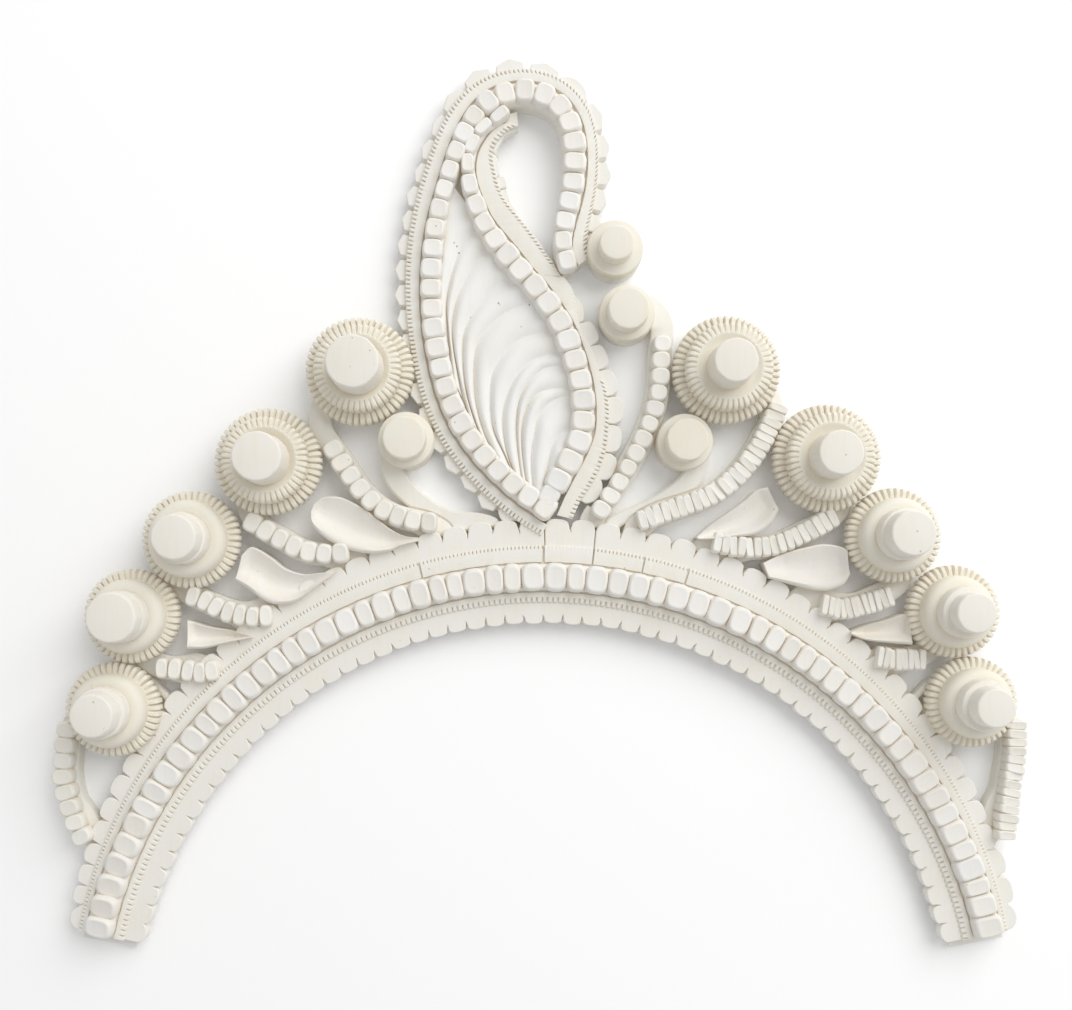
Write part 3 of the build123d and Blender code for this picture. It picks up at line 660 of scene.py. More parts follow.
# %% Tabs of the crest
crest_tab_top = 4.7
crest_rows = (("crest_left_scallops", pointed_tab, 1.1, 1.1, 1.25),
              ("crest_right_scallops", round_tab, 1.0, 0.3, 1.1))
for node, tab, slit_depth, slit_width, rise in crest_rows:
    loop = outline_of(node, board_top)
    edges = recut(loop, tab, rise, slit_depth, slit_width, 0.12, dice, fill=0.9)
    make_piece(node + "_cut", plate(*edges, board_top, crest_tab_top), [node])

# %% [markdown]
# ## Notched strips
# A thin strip runs along each side of every bead string, and a row of fine nicks is cut into one
# of its edges. The two long edges come from the solid's outline, split at its outward corners; a
# small step in an edge has an inward corner right beside the outward one and doesn't count.

# %% Find the long edges of a strip
def evenly(line, count):
    """A number of points at even distances along a line."""
    runs = [0.0]
    for a, b in zip(line, line[1:]):
        runs.append(runs[-1] + (b - a).length)
    spread, here = [], 0
    for number in range(count):
        run = runs[-1] * number / (count - 1)
        while here < len(line) - 2 and runs[here + 1] < run:
            here += 1
        part = (run - runs[here]) / max(1e-9, runs[here + 1] - runs[here])
        spread.append(line[here].lerp(line[here + 1], min(1, part)))
    return spread


def length_of(line):
    """The length of a line."""
    return sum((b - a).length for a, b in zip(line, line[1:]))


corner_turn = 38


def long_edges(node):
    """The two long edges of a strip's outline, running the same way."""
    loop = outline_of(node, seat_height)
    count = len(loop)
    turns = [turn_at(loop[i - 1], loop[i], loop[(i + 1) % count]) for i in range(count)]
    steps = [loop[i] for i in range(count) if turns[i] < -corner_turn]
    sharp = [i for i in range(count) if turns[i] > corner_turn
             and all((loop[i] - step).length > 1 for step in steps)]
    runs = []
    for start, stop in zip(sharp, sharp[1:] + sharp[:1]):
        runs.append([loop[(start + step) % count] for step in range((stop - start) % count + 1)])
    first, second = sorted(runs, key=length_of)[-2:]
    if (first[0] - second[0]).length > (first[0] - second[-1]).length:
        second = second[::-1]
    return first, second


band_strip_edges = long_edges("band_outer_strip")
print("outer strip's edges in mm:", [round(length_of(edge), 1) for edge in band_strip_edges])

# %% [markdown]
# The strip is a tube through rows of points. Each row goes once round the strip's section, and
# where a nick is, the points on that edge are pressed down and drawn in. Eight rows make one nick
# and the land beside it, so `nick_form` is a nick seen from the side. A bump would show nicks from
# above too, but they break the strip's edge, and only real ones show there from every side.

# %% Shape a notched strip
nick_form = (0.0, 0.0, 0.0, 0.0, 0.0, 0.35, 1.0, 0.35)
nick_drop = 1.1


def section_of(cut, width):
    """A strip's section from its nicked edge: inset, height and how much of the nick shows."""
    top = strip_top
    return ((0.0, seat_height, 0.3), (0.0, top - 0.4, 0.8), (0.1, top - 0.1, 1.0),
            (cut * 0.35, top, 1.0), (cut * 0.75, top, 0.8), (cut + 0.1, top, 0.0),
            (width - 0.3, top, 0.0), (width - 0.05, top - 0.12, 0.0), (width, top - 0.4, 0.0),
            (width, seat_height, 0.0))


def notched_strip(plain_edge, nicked_edge, pitch, reach, dice, amount=None):
    """A strip with fine nicks in one edge; amount gives their strength at a place."""
    nicks = max(2, round(length_of(nicked_edge) / pitch))
    count = nicks * len(nick_form) + 1
    low_edge, high_edge = evenly(plain_edge, count), evenly(nicked_edge, count)
    rows = []
    for number in range(count):
        nick, part = divmod(number, len(nick_form))
        if part == 0:
            strength = dice.uniform(0.65, 1.15)
            slip = dice.uniform(-0.1, 0.1) * pitch
        far, near = low_edge[number], high_edge[number]
        width = (far - near).length
        inward = (far - near).normalized()
        share = nick_form[part] * strength
        if amount:
            share *= amount(near)
        along = Vector((inward.y, -inward.x)) * slip * nick_form[part]
        row = []
        for inset, height, shows in section_of(min(reach, width - 0.5), width):
            fall = nick_drop * share * shows if height > seat_height else 0
            place = near + inward * (inset + (0.2 * share if inset < 0.2 else 0)) + along
            row.append((*place, max(seat_height, height - fall)))
        rows.append(row)
    return lofted(rows)


def beyond(line, length):
    """A line with both ends drawn out straight."""
    first, last = (line[0] - line[1]).normalized(), (line[-1] - line[-2]).normalized()
    return [line[0] + first * length, *line[1:-1], line[-1] + last * length]


def outward_first(edges, middle):
    """Two edges, the one that is farther from a point first."""
    return sorted(edges, key=lambda edge: -(edge[len(edge) // 2] - middle).length)


print("points round a strip's section:", len(section_of(1, 2)))

# %% [markdown]
# The outer strip of the band is glued on in short lengths, and thin cracks show where two of them
# meet. One of those lengths, right of the top, was left almost without nicks. Each length is its
# own strip between two angles from the top of the arch, with a hair's gap to the next.

# %% Strips of the band
dice = Random(21)
outer_edge, bead_edge = outward_first(band_strip_edges, arch_centre)
crack_angles = (-90, -14.9, 0.0, 6.0, 12.1, 17.5, 90)
points_on_edge = 1600


def part_of(edge, low, high):
    """The stretch of an edge between two angles from the top of the arch."""
    kept = [point for point in evenly(edge, points_on_edge) if low <= polar_angle(point) <= high]
    return kept if polar_angle(kept[0]) < polar_angle(kept[-1]) else kept[::-1]


lengths = []
for low, high in zip(crack_angles, crack_angles[1:]):
    strength = 0.12 if low == 0.0 else 1.0
    plain_edge = part_of(bead_edge, low + 0.07, high - 0.07)
    nicked_edge = part_of(outer_edge, low + 0.1, high - 0.04)
    lengths.append(notched_strip(plain_edge, nicked_edge, 0.95, 0.85, dice, lambda place: strength))
make_piece("band_outer_strip_notched", joined(lengths), ["band_outer_strip"])
bead_edge, inner_edge = outward_first(long_edges("band_inner_strip"), arch_centre)
make_piece("band_inner_strip_notched", notched_strip(
    bead_edge, inner_edge, 1.3, 1.2, dice), ["band_inner_strip"])

# %% [markdown]
# The crest's left strip has a smooth track beside the beads and squarish teeth outside it. The
# teeth hang over the tabs, so the nicked edge is moved out by their length before it is cut.

# %% Left strip of the crest
crest_middle = Vector((-14, 60))
tooth_length = 1.1
outside, inside = outward_first(long_edges("crest_left_strip"), crest_middle)
track_edge, teeth_edge = evenly(inside, len(outside)), evenly(outside, len(outside))
teeth_edge = [place + (place - track).normalized() * tooth_length
              for place, track in zip(teeth_edge, track_edge)]
make_piece("crest_left_strip_notched", notched_strip(
    inside, teeth_edge, 1.08, 1.2, dice), ["crest_left_strip"])

# %% [markdown]
# On the right, the nicks fade beside the hole and come back lower down. The strip and its beads
# were bent by hand when they were glued on: `pushed` moves them to the left, close to their twins
# at the tip, in the belly of the curve and at the foot.

# %% Right strip of the crest
foot_way = Vector((-2.0, -4.6))


def margin_nicks(place):
    """Strength of the nicks on the right margin at a height above the band."""
    return 0.1 if 48 < place.y < 76 else 1.0


def pushed(place):
    """How far the right string and its strip are moved at a height above the band."""
    tip = min(1.0, max(0.0, (place.y - 92) / 12))
    belly = max(0.0, 1 - abs(place.y - 76) / 15)
    foot = min(1.0, max(0.0, (35 - place.y) / 11))
    return Vector((-2.2 * tip - 1.6 * belly - 2.2 * foot, 0.5 * tip))


outside, inside = outward_first(long_edges("crest_right_strip"), crest_middle)
inside = [place + pushed(place) for place in inside]
for edge in (outside, inside):
    if edge[0].y < edge[-1].y:
        edge.reverse()
    edge.append(edge[-1] + foot_way)
make_piece("crest_right_strip_notched", notched_strip(
    inside, outside, 1.1, 1.1, dice, margin_nicks), ["crest_right_strip"])

# %% [markdown]
# ## Strings of beads
# Every bead is a short length of pith with its corners pared off, so from above it shows a small
# flat window inside a soft rim. An array of one bead along a curve would be quick, but it would
# repeat one shape, and no two of these are alike. The beads' solids give the places: the corners
# above the seat are gathered bead by bead, and the string runs from one middle to the next.

# %% Find the beads of a solid
def islands_above(node, level):
    """Groups of a solid's corners above a height that hang together."""
    corners, faces = solid(node)
    group = {}

    def root(corner):
        while group[corner] != corner:
            group[corner] = group[group[corner]]
            corner = group[corner]
        return corner

    for face in faces:
        high = [corner for corner in face if corners[corner].z > level]
        for corner in high:
            group.setdefault(corner, corner)
        for corner in high[1:]:
            group[root(corner)] = root(high[0])
    gathered = {}
    for corner in group:
        gathered.setdefault(root(corner), []).append(corners[corner])
    return list(gathered.values())


print("solids on the band's row:", len(islands_above("band_beads", seat_height + 0.05)))

# %% [markdown]
# The groups come in no order. The string starts at the bead whose neighbours are farthest, which
# is one of its ends, and goes on to the nearest bead not yet strung. From its neighbours each bead
# gets its heading, and along and across that heading its size is measured.

# %% Put the beads in order
def middle_of(points):
    """The middle of the box round some points, seen from above."""
    xs, ys = [p.x for p in points], [p.y for p in points]
    return Vector(((min(xs) + max(xs)) / 2, (min(ys) + max(ys)) / 2))


def string_order(middles):
    """Places of the beads in order along the string, from one of its ends."""
    left = set(range(len(middles)))
    near = [sorted((a - b).length for b in middles)[min(2, len(middles) - 1)] for a in middles]
    here = max(left, key=lambda bead: near[bead])
    order = []
    while left:
        left.discard(here)
        order.append(here)
        if left:
            here = min(left, key=lambda bead: (middles[bead] - middles[order[-1]]).length)
    return order


def beads_of(node):
    """Each bead as its middle, the way the string runs there, and its length and width."""
    groups = islands_above(node, seat_height + 0.05)
    middles = [middle_of(group) for group in groups]
    order = string_order(middles)
    beads = []
    for place, bead in enumerate(order):
        before = middles[order[max(0, place - 1)]]
        after = middles[order[min(len(order) - 1, place + 1)]]
        along = (after - before).normalized()
        across = Vector((-along.y, along.x))
        lengths = [(point.to_2d() - middles[bead]).dot(along) for point in groups[bead]]
        widths = [(point.to_2d() - middles[bead]).dot(across) for point in groups[bead]]
        centre = middles[bead] + along * (min(lengths) + max(lengths)) / 2
        centre += across * (min(widths) + max(widths)) / 2
        beads.append((centre, along, max(lengths) - min(lengths), max(widths) - min(widths)))
    return beads


band_beads = beads_of("band_beads")
band_pitch = (band_beads[0][0] - band_beads[1][0]).length
print("beads on the band:", len(band_beads), "pitch in mm:", round(band_pitch, 2))

# %% [markdown]
# A cushion bead is built in rings from its foot to its window. Each ring is a rounded rectangle;
# the wall bulges, the rim turns over softly, and the window inside it is pressed in a hair. That
# window is what catches the light. A bevelled box comes close, but its rim is round all over, and
# `squareness` lets one recipe give the soft beads on the left and the square ones on the right.

# %% Shape a cushion bead
cushion_rings = ((0.96, 0.0), (1.0, 0.25), (1.0, 0.52), (0.985, 0.68), (0.95, 0.81), (0.90, 0.905),
                 (0.83, 0.965), (0.76, 0.993), (0.69, 1.0), (0.62, 0.992), (0.50, 0.985))
bead_sides = 28


def spun(way, angle):
    """A way turned to the left by an angle in radians."""
    return Vector((way.x * cos(angle) - way.y * sin(angle), way.x * sin(angle) + way.y * cos(angle)))


def cushion(bead, base, height, dice, squareness=3.2, unevenness=1.0, tilt=0.0):
    """A bead with a soft rim and a flat window on top, a little uneven, tilted along its string."""
    centre, along, length, width = bead
    length *= 1 + unevenness * dice.uniform(-0.03, 0.04)
    width *= 1 + unevenness * dice.uniform(-0.05, 0.03)
    height *= 1 + unevenness * dice.uniform(-0.06, 0.04)
    along = spun(along, radians(unevenness * dice.uniform(-4, 4)))
    across = Vector((-along.y, along.x))
    tilt_along = tilt + unevenness * dice.uniform(-0.05, 0.05)
    tilt_across = unevenness * dice.uniform(-0.05, 0.05)
    pinch = unevenness * dice.uniform(-0.05, 0.05)
    corners, faces = [], []
    for reach, rise in cushion_rings:
        for side in range(bead_sides):
            angle = 2 * pi * side / bead_sides
            u = abs(cos(angle)) ** (2 / squareness) * (1 if cos(angle) > 0 else -1) * reach
            v = abs(sin(angle)) ** (2 / squareness) * (1 if sin(angle) > 0 else -1) * reach
            u *= 1 + pinch * v
            place = centre + along * u * length / 2 + across * v * width / 2
            lift = (u * length * tilt_along + v * width * tilt_across) * rise
            corners.append((*place, base + height * rise + lift))
    for number in range(len(cushion_rings) - 1):
        for side in range(bead_sides):
            after = (side + 1) % bead_sides
            low, high = number * bead_sides, (number + 1) * bead_sides
            faces.append((low + side, low + after, high + after, high + side))
    faces.append(tuple(range(bead_sides)))
    corners.append((*centre, base + height * cushion_rings[-1][1]))
    top = (len(cushion_rings) - 1) * bead_sides
    for side in range(bead_sides):
        faces.append((top + side, top + (side + 1) % bead_sides, len(corners) - 1))
    return corners, faces


print("rings in a bead:", len(cushion_rings), "points in a ring:", bead_sides)

# %% [markdown]
# The beads of a string are carved on one long stick of pith, so the cuts between them are shallow.
# `core` lofts that stick from bead to bead, a little narrower and lower than they are.

# %% The stick inside a string
core_form = ((1, 0), (1, 0.8), (0.8, 0.97), (0, 1), (-0.8, 0.97), (-1, 0.8), (-1, 0))
core_share = 0.9


def core(beads, height):
    """The stick of pith that a string of beads is carved on."""
    rows = []
    for centre, along, _, width in beads:
        across = Vector((-along.y, along.x)) * width * core_share / 2
        rows.append([(*(centre + across * side), seat_height + height * up) for side, up in core_form])
    return lofted(rows)


print("points round the stick:", len(core_form))

# %% [markdown]
# The band's beads touch one another and no two are the same length, so its string is set out
# afresh along the arch: lengths are drawn by chance and then scaled to fill it. Towards the left
# foot the beads lean over each other like half rolls, and towards the right foot they are flatter
# and squarer.

# %% The band's string
dice = Random(5)
band_bead_width, band_bead_height = 7.1, 5.3
foot_angle = max(abs(polar_angle(bead[0])) for bead in band_beads) + 1.2
spans = [dice.uniform(0.82, 1.14) for _ in band_beads]
to_angle = 2 * foot_angle / sum(spans)
string, stick, angle = [], [], -foot_angle
for span in spans:
    middle = radians(angle + span * to_angle / 2)
    place = arch_centre + Vector((sin(middle), cos(middle))) * string_radius
    length = radians(span * to_angle) * string_radius
    leaning = max(0.0, (-angle - 52) / 26)
    flat = max(0.0, (angle - 40) / 38)
    way = Vector((cos(middle), -sin(middle)))
    bead = (place, way, length * (1.04 + 0.1 * leaning), band_bead_width)
    stick.append(bead)
    string.append(cushion(bead, seat_height, band_bead_height - 0.5 * flat, dice,
                          3.0 + 1.8 * flat, tilt=0.16 * leaning))
    angle += span * to_angle
make_piece("band_bead_string", joined([core(stick, 2.8), *string]), ["band_beads"], 60)

# %% [markdown]
# The crest's two strings follow their solids bead for bead, each as long as its share of the
# string. At the tip the right string is pushed close against the left one and its beads shrink.

# %% The crest's strings
crest_bead_height = 4.9
for side in ("left", "right"):
    node = f"crest_{side}_beads"
    solids = beads_of(node)
    places = [bead[0] + (pushed(bead[0]) if side == "right" else Vector((0, 0))) for bead in solids]
    beads = []
    for number, place in enumerate(places):
        before, after = places[max(0, number - 1)], places[min(len(places) - 1, number + 1)]
        gaps = [(place - other).length for other in (before, after) if other != place]
        width = solids[number][3] * (0.9 if side == "right" and place.y > 100 else 1.04)
        beads.append((place, (after - before).normalized(), sum(gaps) / len(gaps) * 1.05, width))
    if side == "right":
        last, before = sorted(beads, key=lambda bead: bead[0].y)[:2]
        step = last[0] - before[0]
        beads.insert(0 if last is beads[0] else len(beads),
                     (last[0] + step * 0.8, step.normalized(), last[2] * 0.9, last[3] * 0.85))
    cushions = [cushion(bead, seat_height, crest_bead_height, dice, 3.4) for bead in beads]
    make_piece(f"crest_{side}_bead_string", joined([core(beads, 3.0), *cushions]), [node], 60)

# %% [markdown]
# ## The crest's leaf
# The inside of the crest is one leaf of eleven long blades. They are pared from a single sheet with
# a curved knife: each cut leaves a crease on one side of a blade, and the blade rises from it and
# rolls over to the next. Sculpting would do, but a carver works line by line, and so does this: the
# twelve lines below were read off the photograph one by one, from the rim beside the right string
# down to the foot of the leaf.

# %% Creases of the leaf
creases = (
    ((452, 188), (447, 210), (442, 235), (439, 260), (437, 285), (437, 310), (439, 335), (444, 360)),
    ((480, 228), (464, 241), (456, 258), (450, 280), (446.6, 301), (447, 323), (450, 366)),
    ((488, 246), (478, 256), (466, 276.6), (457, 297), (452, 323), (453, 347), (457, 370), (462, 396)),
    ((516, 273), (496, 283), (481, 301), (468, 320), (463, 338), (463, 368), (467, 396), (475, 423),
     (484, 446)),
    ((546, 300), (528, 302), (506, 310.6), (491, 323), (479, 338), (474, 355), (474, 389),
     (478, 413.5), (486, 438), (497, 460)),
    ((560, 331), (545.5, 331), (526, 335), (511, 344.6), (498, 361), (491, 376.5), (490, 404),
     (493.6, 430), (505, 454.6), (513, 474)),
    ((568, 352), (546, 354), (527, 363), (512.5, 382), (504, 405), (502.7, 427), (507, 453), (516, 480)),
    ((575, 364), (547, 366.5), (533, 377), (521, 394.6), (517, 416), (517, 441), (521, 475), (524, 488)),
    ((575, 387), (552, 388), (536, 394), (526, 410), (521.6, 431), (523, 460), (528, 490)),
    ((578, 394), (561.6, 396), (547, 403.6), (537.5, 417), (534, 434), (531, 460), (534, 496)),
    ((576, 427), (562.5, 431), (552, 446), (547.5, 467), (545, 498)),
    ((572, 440), (562, 470), (548, 496), (545, 502)),
)


points_on_span = 9


def smooth_line(points, count):
    """A smooth curve through points, at even distances."""
    drawn = []
    for i in range(len(points) - 1):
        here, there = points[i], points[i + 1]
        before = points[i - 1] if i else points[0] * 2 - points[1]
        after = points[i + 2] if i + 2 < len(points) else points[-1] * 2 - points[-2]
        spots = (here, here + (there - before) / 6, there - (after - here) / 6, there)
        knots = [Vector((*spot, 0)) for spot in spots]
        drawn += [p.to_2d() for p in interpolate_bezier(*knots, points_on_span)][:-1]
    return evenly(drawn + [points[-1]], count)


def seen_line(points, height, count):
    """A smooth curve through places of the photograph, in millimetres at a height."""
    return smooth_line([seen_at(across, down, height) for across, down in points], count)


longest_crease = seen_line(creases[4], 6.5, 40)
print("creases:", len(creases), "the longest in mm:", round(length_of(longest_crease), 1))

# %% [markdown]
# Every blade is lofted between two creases. Across it, the surface climbs in its first third, runs
# over a soft crown and falls steeply into the next crease. Near the rim the blades flatten and
# merge, because the knife leaves the sheet there.

# %% Loft the blades
blade_form = ((0.0, 0.0), (0.07, 0.16), (0.15, 0.40), (0.24, 0.66), (0.33, 0.87), (0.43, 0.98),
              (0.54, 1.0), (0.65, 0.93), (0.75, 0.78), (0.85, 0.52), (0.93, 0.25), (1.0, 0.0))
blade_rows = 44
crease_height = 5.3
seen_crease_height = 6.5
highest_rise = 1.5
lines = [beyond(seen_line(line, seen_crease_height, blade_rows), 1.0) for line in creases]
blades = []
for left, right in zip(lines, lines[1:]):
    rows = []
    for number, (a, b) in enumerate(zip(left, right)):
        share = number / (blade_rows - 1)
        fade = min(1.0, 0.15 + share / 0.42)
        rise = min(highest_rise, 0.45 * (b - a).length) * fade
        low, high = a.lerp(b, -0.02), a.lerp(b, 1.02)
        row = [(*low, board_top)]
        row += [(*low.lerp(high, across), crease_height + rise * up) for across, up in blade_form]
        rows.append(row + [(*high, board_top)])
    blades.append(lofted(rows))
make_piece("crest_leaf_blades", joined(blades), ["crest_shell"], 30)

# %% [markdown]
# ## Rosettes
# A rosette is two or three discs of pith with teeth nicked all round, like a gear. The nicks are
# cut from the rim towards the middle, so they are deepest at the edge and fade out on top. A spin
# with a boolean cutter for each nick would be the obvious way, but its cuts are all alike. Here
# each disc is turned from a profile, and at each nick the profile is drawn in and pressed down.

# %% Turn a toothed disc
tooth_form = (0.0, 0.0, 0.0, 0.0, 0.0, 0.5, 1.0, 0.6)
smooth_ring = (0.0,) * len(tooth_form)
tooth_width = 1.7


def turned(centre, profile, teeth, dice, nick=0.0, drop=0.0, steps=tooth_form, wobble=0.006):
    """A disc turned from rows of radius, height and how much of the nick shows there."""
    count = teeth * len(steps)
    depth = [dice.uniform(0.75, 1.15) for _ in range(teeth)]
    slip = [dice.uniform(-0.25, 0.25) for _ in range(teeth)]
    lean = dice.uniform(0, 2 * pi)
    corners, faces = [], []
    for radius, height, share in profile:
        for step in range(count):
            tooth, part = divmod(step, len(steps))
            cut = steps[part] * share * depth[tooth]
            angle = 2 * pi * (step + slip[tooth] * (part > 4)) / count
            reach = radius * (1 + wobble * sin(3 * angle + lean)) - nick * cut
            corners.append((centre.x + reach * cos(angle), centre.y + reach * sin(angle),
                            height - drop * cut))
    for row in range(len(profile) - 1):
        for step in range(count):
            after = (step + 1) % count
            low, high = row * count, (row + 1) * count
            faces.append((low + step, low + after, high + after, high + step))
    faces.append(tuple(range(count)))
    corners.append((*centre, profile[-1][1]))
    top = (len(profile) - 1) * count
    faces += [(top + step, top + (step + 1) % count, len(corners) - 1) for step in range(count)]
    return corners, faces


print("points of one tooth:", len(tooth_form))

# %% [markdown]
# A rosette's place, breadth and heights come from the box round its solid. One tier of teeth is the
# same on every rosette apart from its radius, its heights and how far in the nicks reach.

# %% Measure a rosette
def centre_of(node):
    """The middle of a solid, seen from above."""
    low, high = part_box(node)
    return Vector(((low[0] + high[0]) / 2 / mm, (low[1] + high[1]) / 2 / mm))


def radius_of(node):
    """Half a solid's breadth."""
    low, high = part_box(node)
    return (high[0] - low[0]) / 2 / mm


def height_span(node):
    """The heights of a solid's underside and top."""
    low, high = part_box(node)
    return low[2] / mm, high[2] / mm


def toothed_tier(radius, base, top, length):
    """Profile of one toothed disc: wall, rounded shoulder, and nicks that fade out on top."""
    return [(radius - 0.5, base, 0.8), (radius - 0.1, base + 0.4, 1), (radius, base + 1.2, 1),
            (radius, top - 1.3, 1), (radius - 0.12, top - 0.7, 1), (radius - 0.45, top - 0.25, 1),
            (radius - 0.95, top, 0.95), (radius - 0.75 * length, top + 0.02, 0.85),
            (radius - length, top, 0.35), (radius - length - 0.25, top, 0.0)]


print("widest rosette radius:", round(radius_of("left_rosette_5_base"), 2))

# %% [markdown]
# The two rosettes nearest the crest are the large ones. Their upper disc is dished: inside its
# teeth it slopes down to a smooth bowl, and the cap stands in the middle of the bowl.

# %% Large rosettes
disc_height = 4.5
disc_setback = 2.6
lower_top, upper_top = seat_height + disc_height, seat_height + 2 * disc_height
for side in ("left", "right"):
    for number in (5, 4):
        name = f"{side}_rosette_{number}"
        centre, radius = centre_of(name + "_base"), radius_of(name + "_base")
        bowl_floor = height_span(name + "_cap")[0]
        dice = Random(number + len(side))
        lower = toothed_tier(radius, seat_height, lower_top, 3.2) + [(radius - 5.0, lower_top, 0)]
        rim = radius - disc_setback
        upper = toothed_tier(rim, lower_top, upper_top, 2.3)
        bowl = [(rim - 2.9, upper_top - 0.12, 0), (rim - 3.3, upper_top - 0.5, 0),
                (6.6, bowl_floor + 0.45, 0), (6.2, bowl_floor + 0.1, 0), (3.0, bowl_floor, 0)]
        teeth = round(2 * pi * radius / tooth_width)
        make_piece(name + "_discs", joined([
            turned(centre, lower, teeth, dice, 0.8, 0.8),
            turned(centre, upper + bowl, teeth - 6, dice, 0.6, 0.5)]), [name + "_base"], 50)

# %% [markdown]
# The three smaller ones on each side have a single toothed disc under a smooth drum with a rounded
# shoulder. A low step and the cap stand on the drum.

# %% Small rosettes
for side in ("left", "right"):
    for number in (3, 2, 1):
        name = f"{side}_rosette_{number}"
        centre, radius = centre_of(name + "_base"), radius_of(name + "_base")
        top = height_span(name + "_base")[1]
        dice = Random(10 + number + len(side))
        lower = toothed_tier(radius, seat_height, lower_top, 2.4) + [(radius - 4.2, lower_top, 0)]
        drum = radius - disc_setback
        dome = [(drum, lower_top - 0.2, 0), (drum + 0.1, lower_top + 1.2, 0),
                (drum + 0.05, top - 2.4, 0), (drum - 0.2, top - 1.3, 0), (drum - 0.7, top - 0.5, 0),
                (drum - 1.4, top - 0.08, 0), (drum - 2.1, top, 0), (drum - 2.9, top - 0.1, 0),
                (4.0, top - 0.15, 0)]
        teeth = round(2 * pi * radius / tooth_width)
        make_piece(name + "_discs", joined([
            turned(centre, lower, teeth, dice, 0.8, 0.65),
            turned(centre, dome, 12, dice, steps=smooth_ring, wobble=0.01)]), [name + "_base"], 50)

# %% [markdown]
# ## Caps and buttons
# The caps are short pegs of pith pared with a straight knife, so they aren't truly round: flats of
# uneven width run up the wall. A plain cylinder would look turned on a lathe, so `pared` lays each
# ring of points on flats of chance width, rounded off by `strength`.

# %% Pare a peg
peg_sides = 72


def pared(centre, profile, flats, dice, strength=0.35):
    """A peg with flats pared all round, from rows of radius and height."""
    sides = peg_sides
    cuts = [(number + dice.uniform(-0.25, 0.25)) * 2 * pi / flats for number in range(flats)]
    cuts.append(cuts[0] + 2 * pi)
    slope, lean = dice.uniform(0, 2 * pi), dice.uniform(0.005, 0.015)
    corners = []
    for radius, height in profile:
        for side in range(sides):
            angle = cuts[0] + 2 * pi * side / sides
            first = max(number for number in range(flats) if cuts[number] <= angle + 1e-9)
            half = (cuts[first + 1] - cuts[first]) / 2
            flat = cos(half) / cos(angle - cuts[first] - half)
            reach = radius * (1 - strength * (1 - flat))
            tilt = lean * reach * cos(angle - slope) if height > profile[0][1] + 2 else 0
            corners.append((centre.x + reach * cos(angle), centre.y + reach * sin(angle), height + tilt))
    faces = [tuple(range(sides)), tuple(range(len(corners) - sides, len(corners)))]
    for low in range(0, len(corners) - sides, sides):
        for side in range(sides):
            after = (side + 1) % sides
            faces.append((low + side, low + after, low + sides + after, low + sides + side))
    return corners, faces


print("corners of a peg of two rings:", len(pared(Vector((0, 0)), [(5, 0), (5, 1)], 12, Random(1))[0]))

# %% [markdown]
# The caps taper a little, each to a different top; the radii below were judged one by one from the
# photograph. The two large rosettes of a side have one peg, and the others a peg on a low step.

# %% Caps
cap_tops = {"left": (5.1, 5.9, 5.3, 5.85, 6.3), "right": (4.6, 4.7, 5.3, 5.3, 5.2)}
step_height = 4.4
for side, tops in cap_tops.items():
    for number, top in enumerate(tops, 1):
        name = f"{side}_rosette_{number}_cap"
        centre = centre_of(name)
        low, high = height_span(name)
        dice = Random(30 + number + len(side))
        rim = [(top + 0.04, high - 0.55), (top - 0.04, high - 0.25), (top - 0.22, high - 0.06),
               (top - 0.5, high)]
        if number > 3:
            shape = pared(centre, [(top + 0.35, low), (top + 0.15, low + 3), *rim], 12, dice)
        else:
            step = low + step_height
            ledge = [(6.2, low), (6.2, step - 0.5), (6.0, step - 0.15), (5.6, step)]
            peg = [(min(radius_of(name), top + 0.4), step - 1), *rim]
            shape = joined([pared(centre, ledge, 14, dice), pared(centre, peg, 11, dice)])
        make_piece(name + "_peg", shape, [name], 35)

# %% [markdown]
# Four buttons of a ring and a cap sit between the stems and the crest. A fine groove runs round
# the ring's wall, where two slices of pith are glued together; it is part of the profile, since a
# groove that deep would lose its shadow as a bump.

# %% Buttons
button_tops = {"left_boss": 5.2, "right_boss": 5.1, "hook_boss": 4.2, "crest_boss": 5.0}
ring_height = 4.6
for name, top in button_tops.items():
    centre, radius = centre_of(name), radius_of(name)
    low, high = height_span(name)
    ring_top, groove = low + ring_height, low + ring_height / 2
    dice = Random(60 + len(name))
    ring = [(radius - 0.1, low), (radius, low + 0.4), (radius, groove),
            (radius - 0.35, groove + 0.05), (radius - 0.35, groove + 0.35),
            (radius - 0.02, groove + 0.45), (radius - 0.05, ring_top - 0.7),
            (radius - 0.25, ring_top - 0.2), (radius - 0.6, ring_top)]
    cap = [(top + 0.15, ring_top - 1), (top + 0.05, ring_top + 1), (top, high - 0.5),
           (top - 0.08, high - 0.2), (top - 0.28, high - 0.04), (top - 0.5, high)]
    make_piece(name + "_button", joined([pared(centre, ring, 16, dice, strength=0.15),
                                         pared(centre, cap, 12, dice)]), [name], 35)

# %% [markdown]
# ## Stems and petals
# Each rosette stands on a stem: a narrow board with a string of small beads along it. The beads
# run on a little under the rosette and down over the tabs of the band, as the photograph shows, so
# the row that the solid gives is drawn on at both ends, on the curve of its last three beads.

# %% Draw a row of beads on
tab_tip_radius = 126.5


def drawn_on(beads, step, count, towards=None):
    """More beads after the last one, up to a circle if one is given."""
    before, middle, last = (bead[0] for bead in beads[-3:])
    turn = radians(turn_at(before, middle, last) * 0.8)
    heading, place = (last - middle).normalized(), last
    more = []
    for _ in range(count):
        heading = spun(heading, turn)
        place = place + heading * step
        if towards and (place - towards[0]).length < towards[1]:
            break
        more.append((place, heading))
    return more


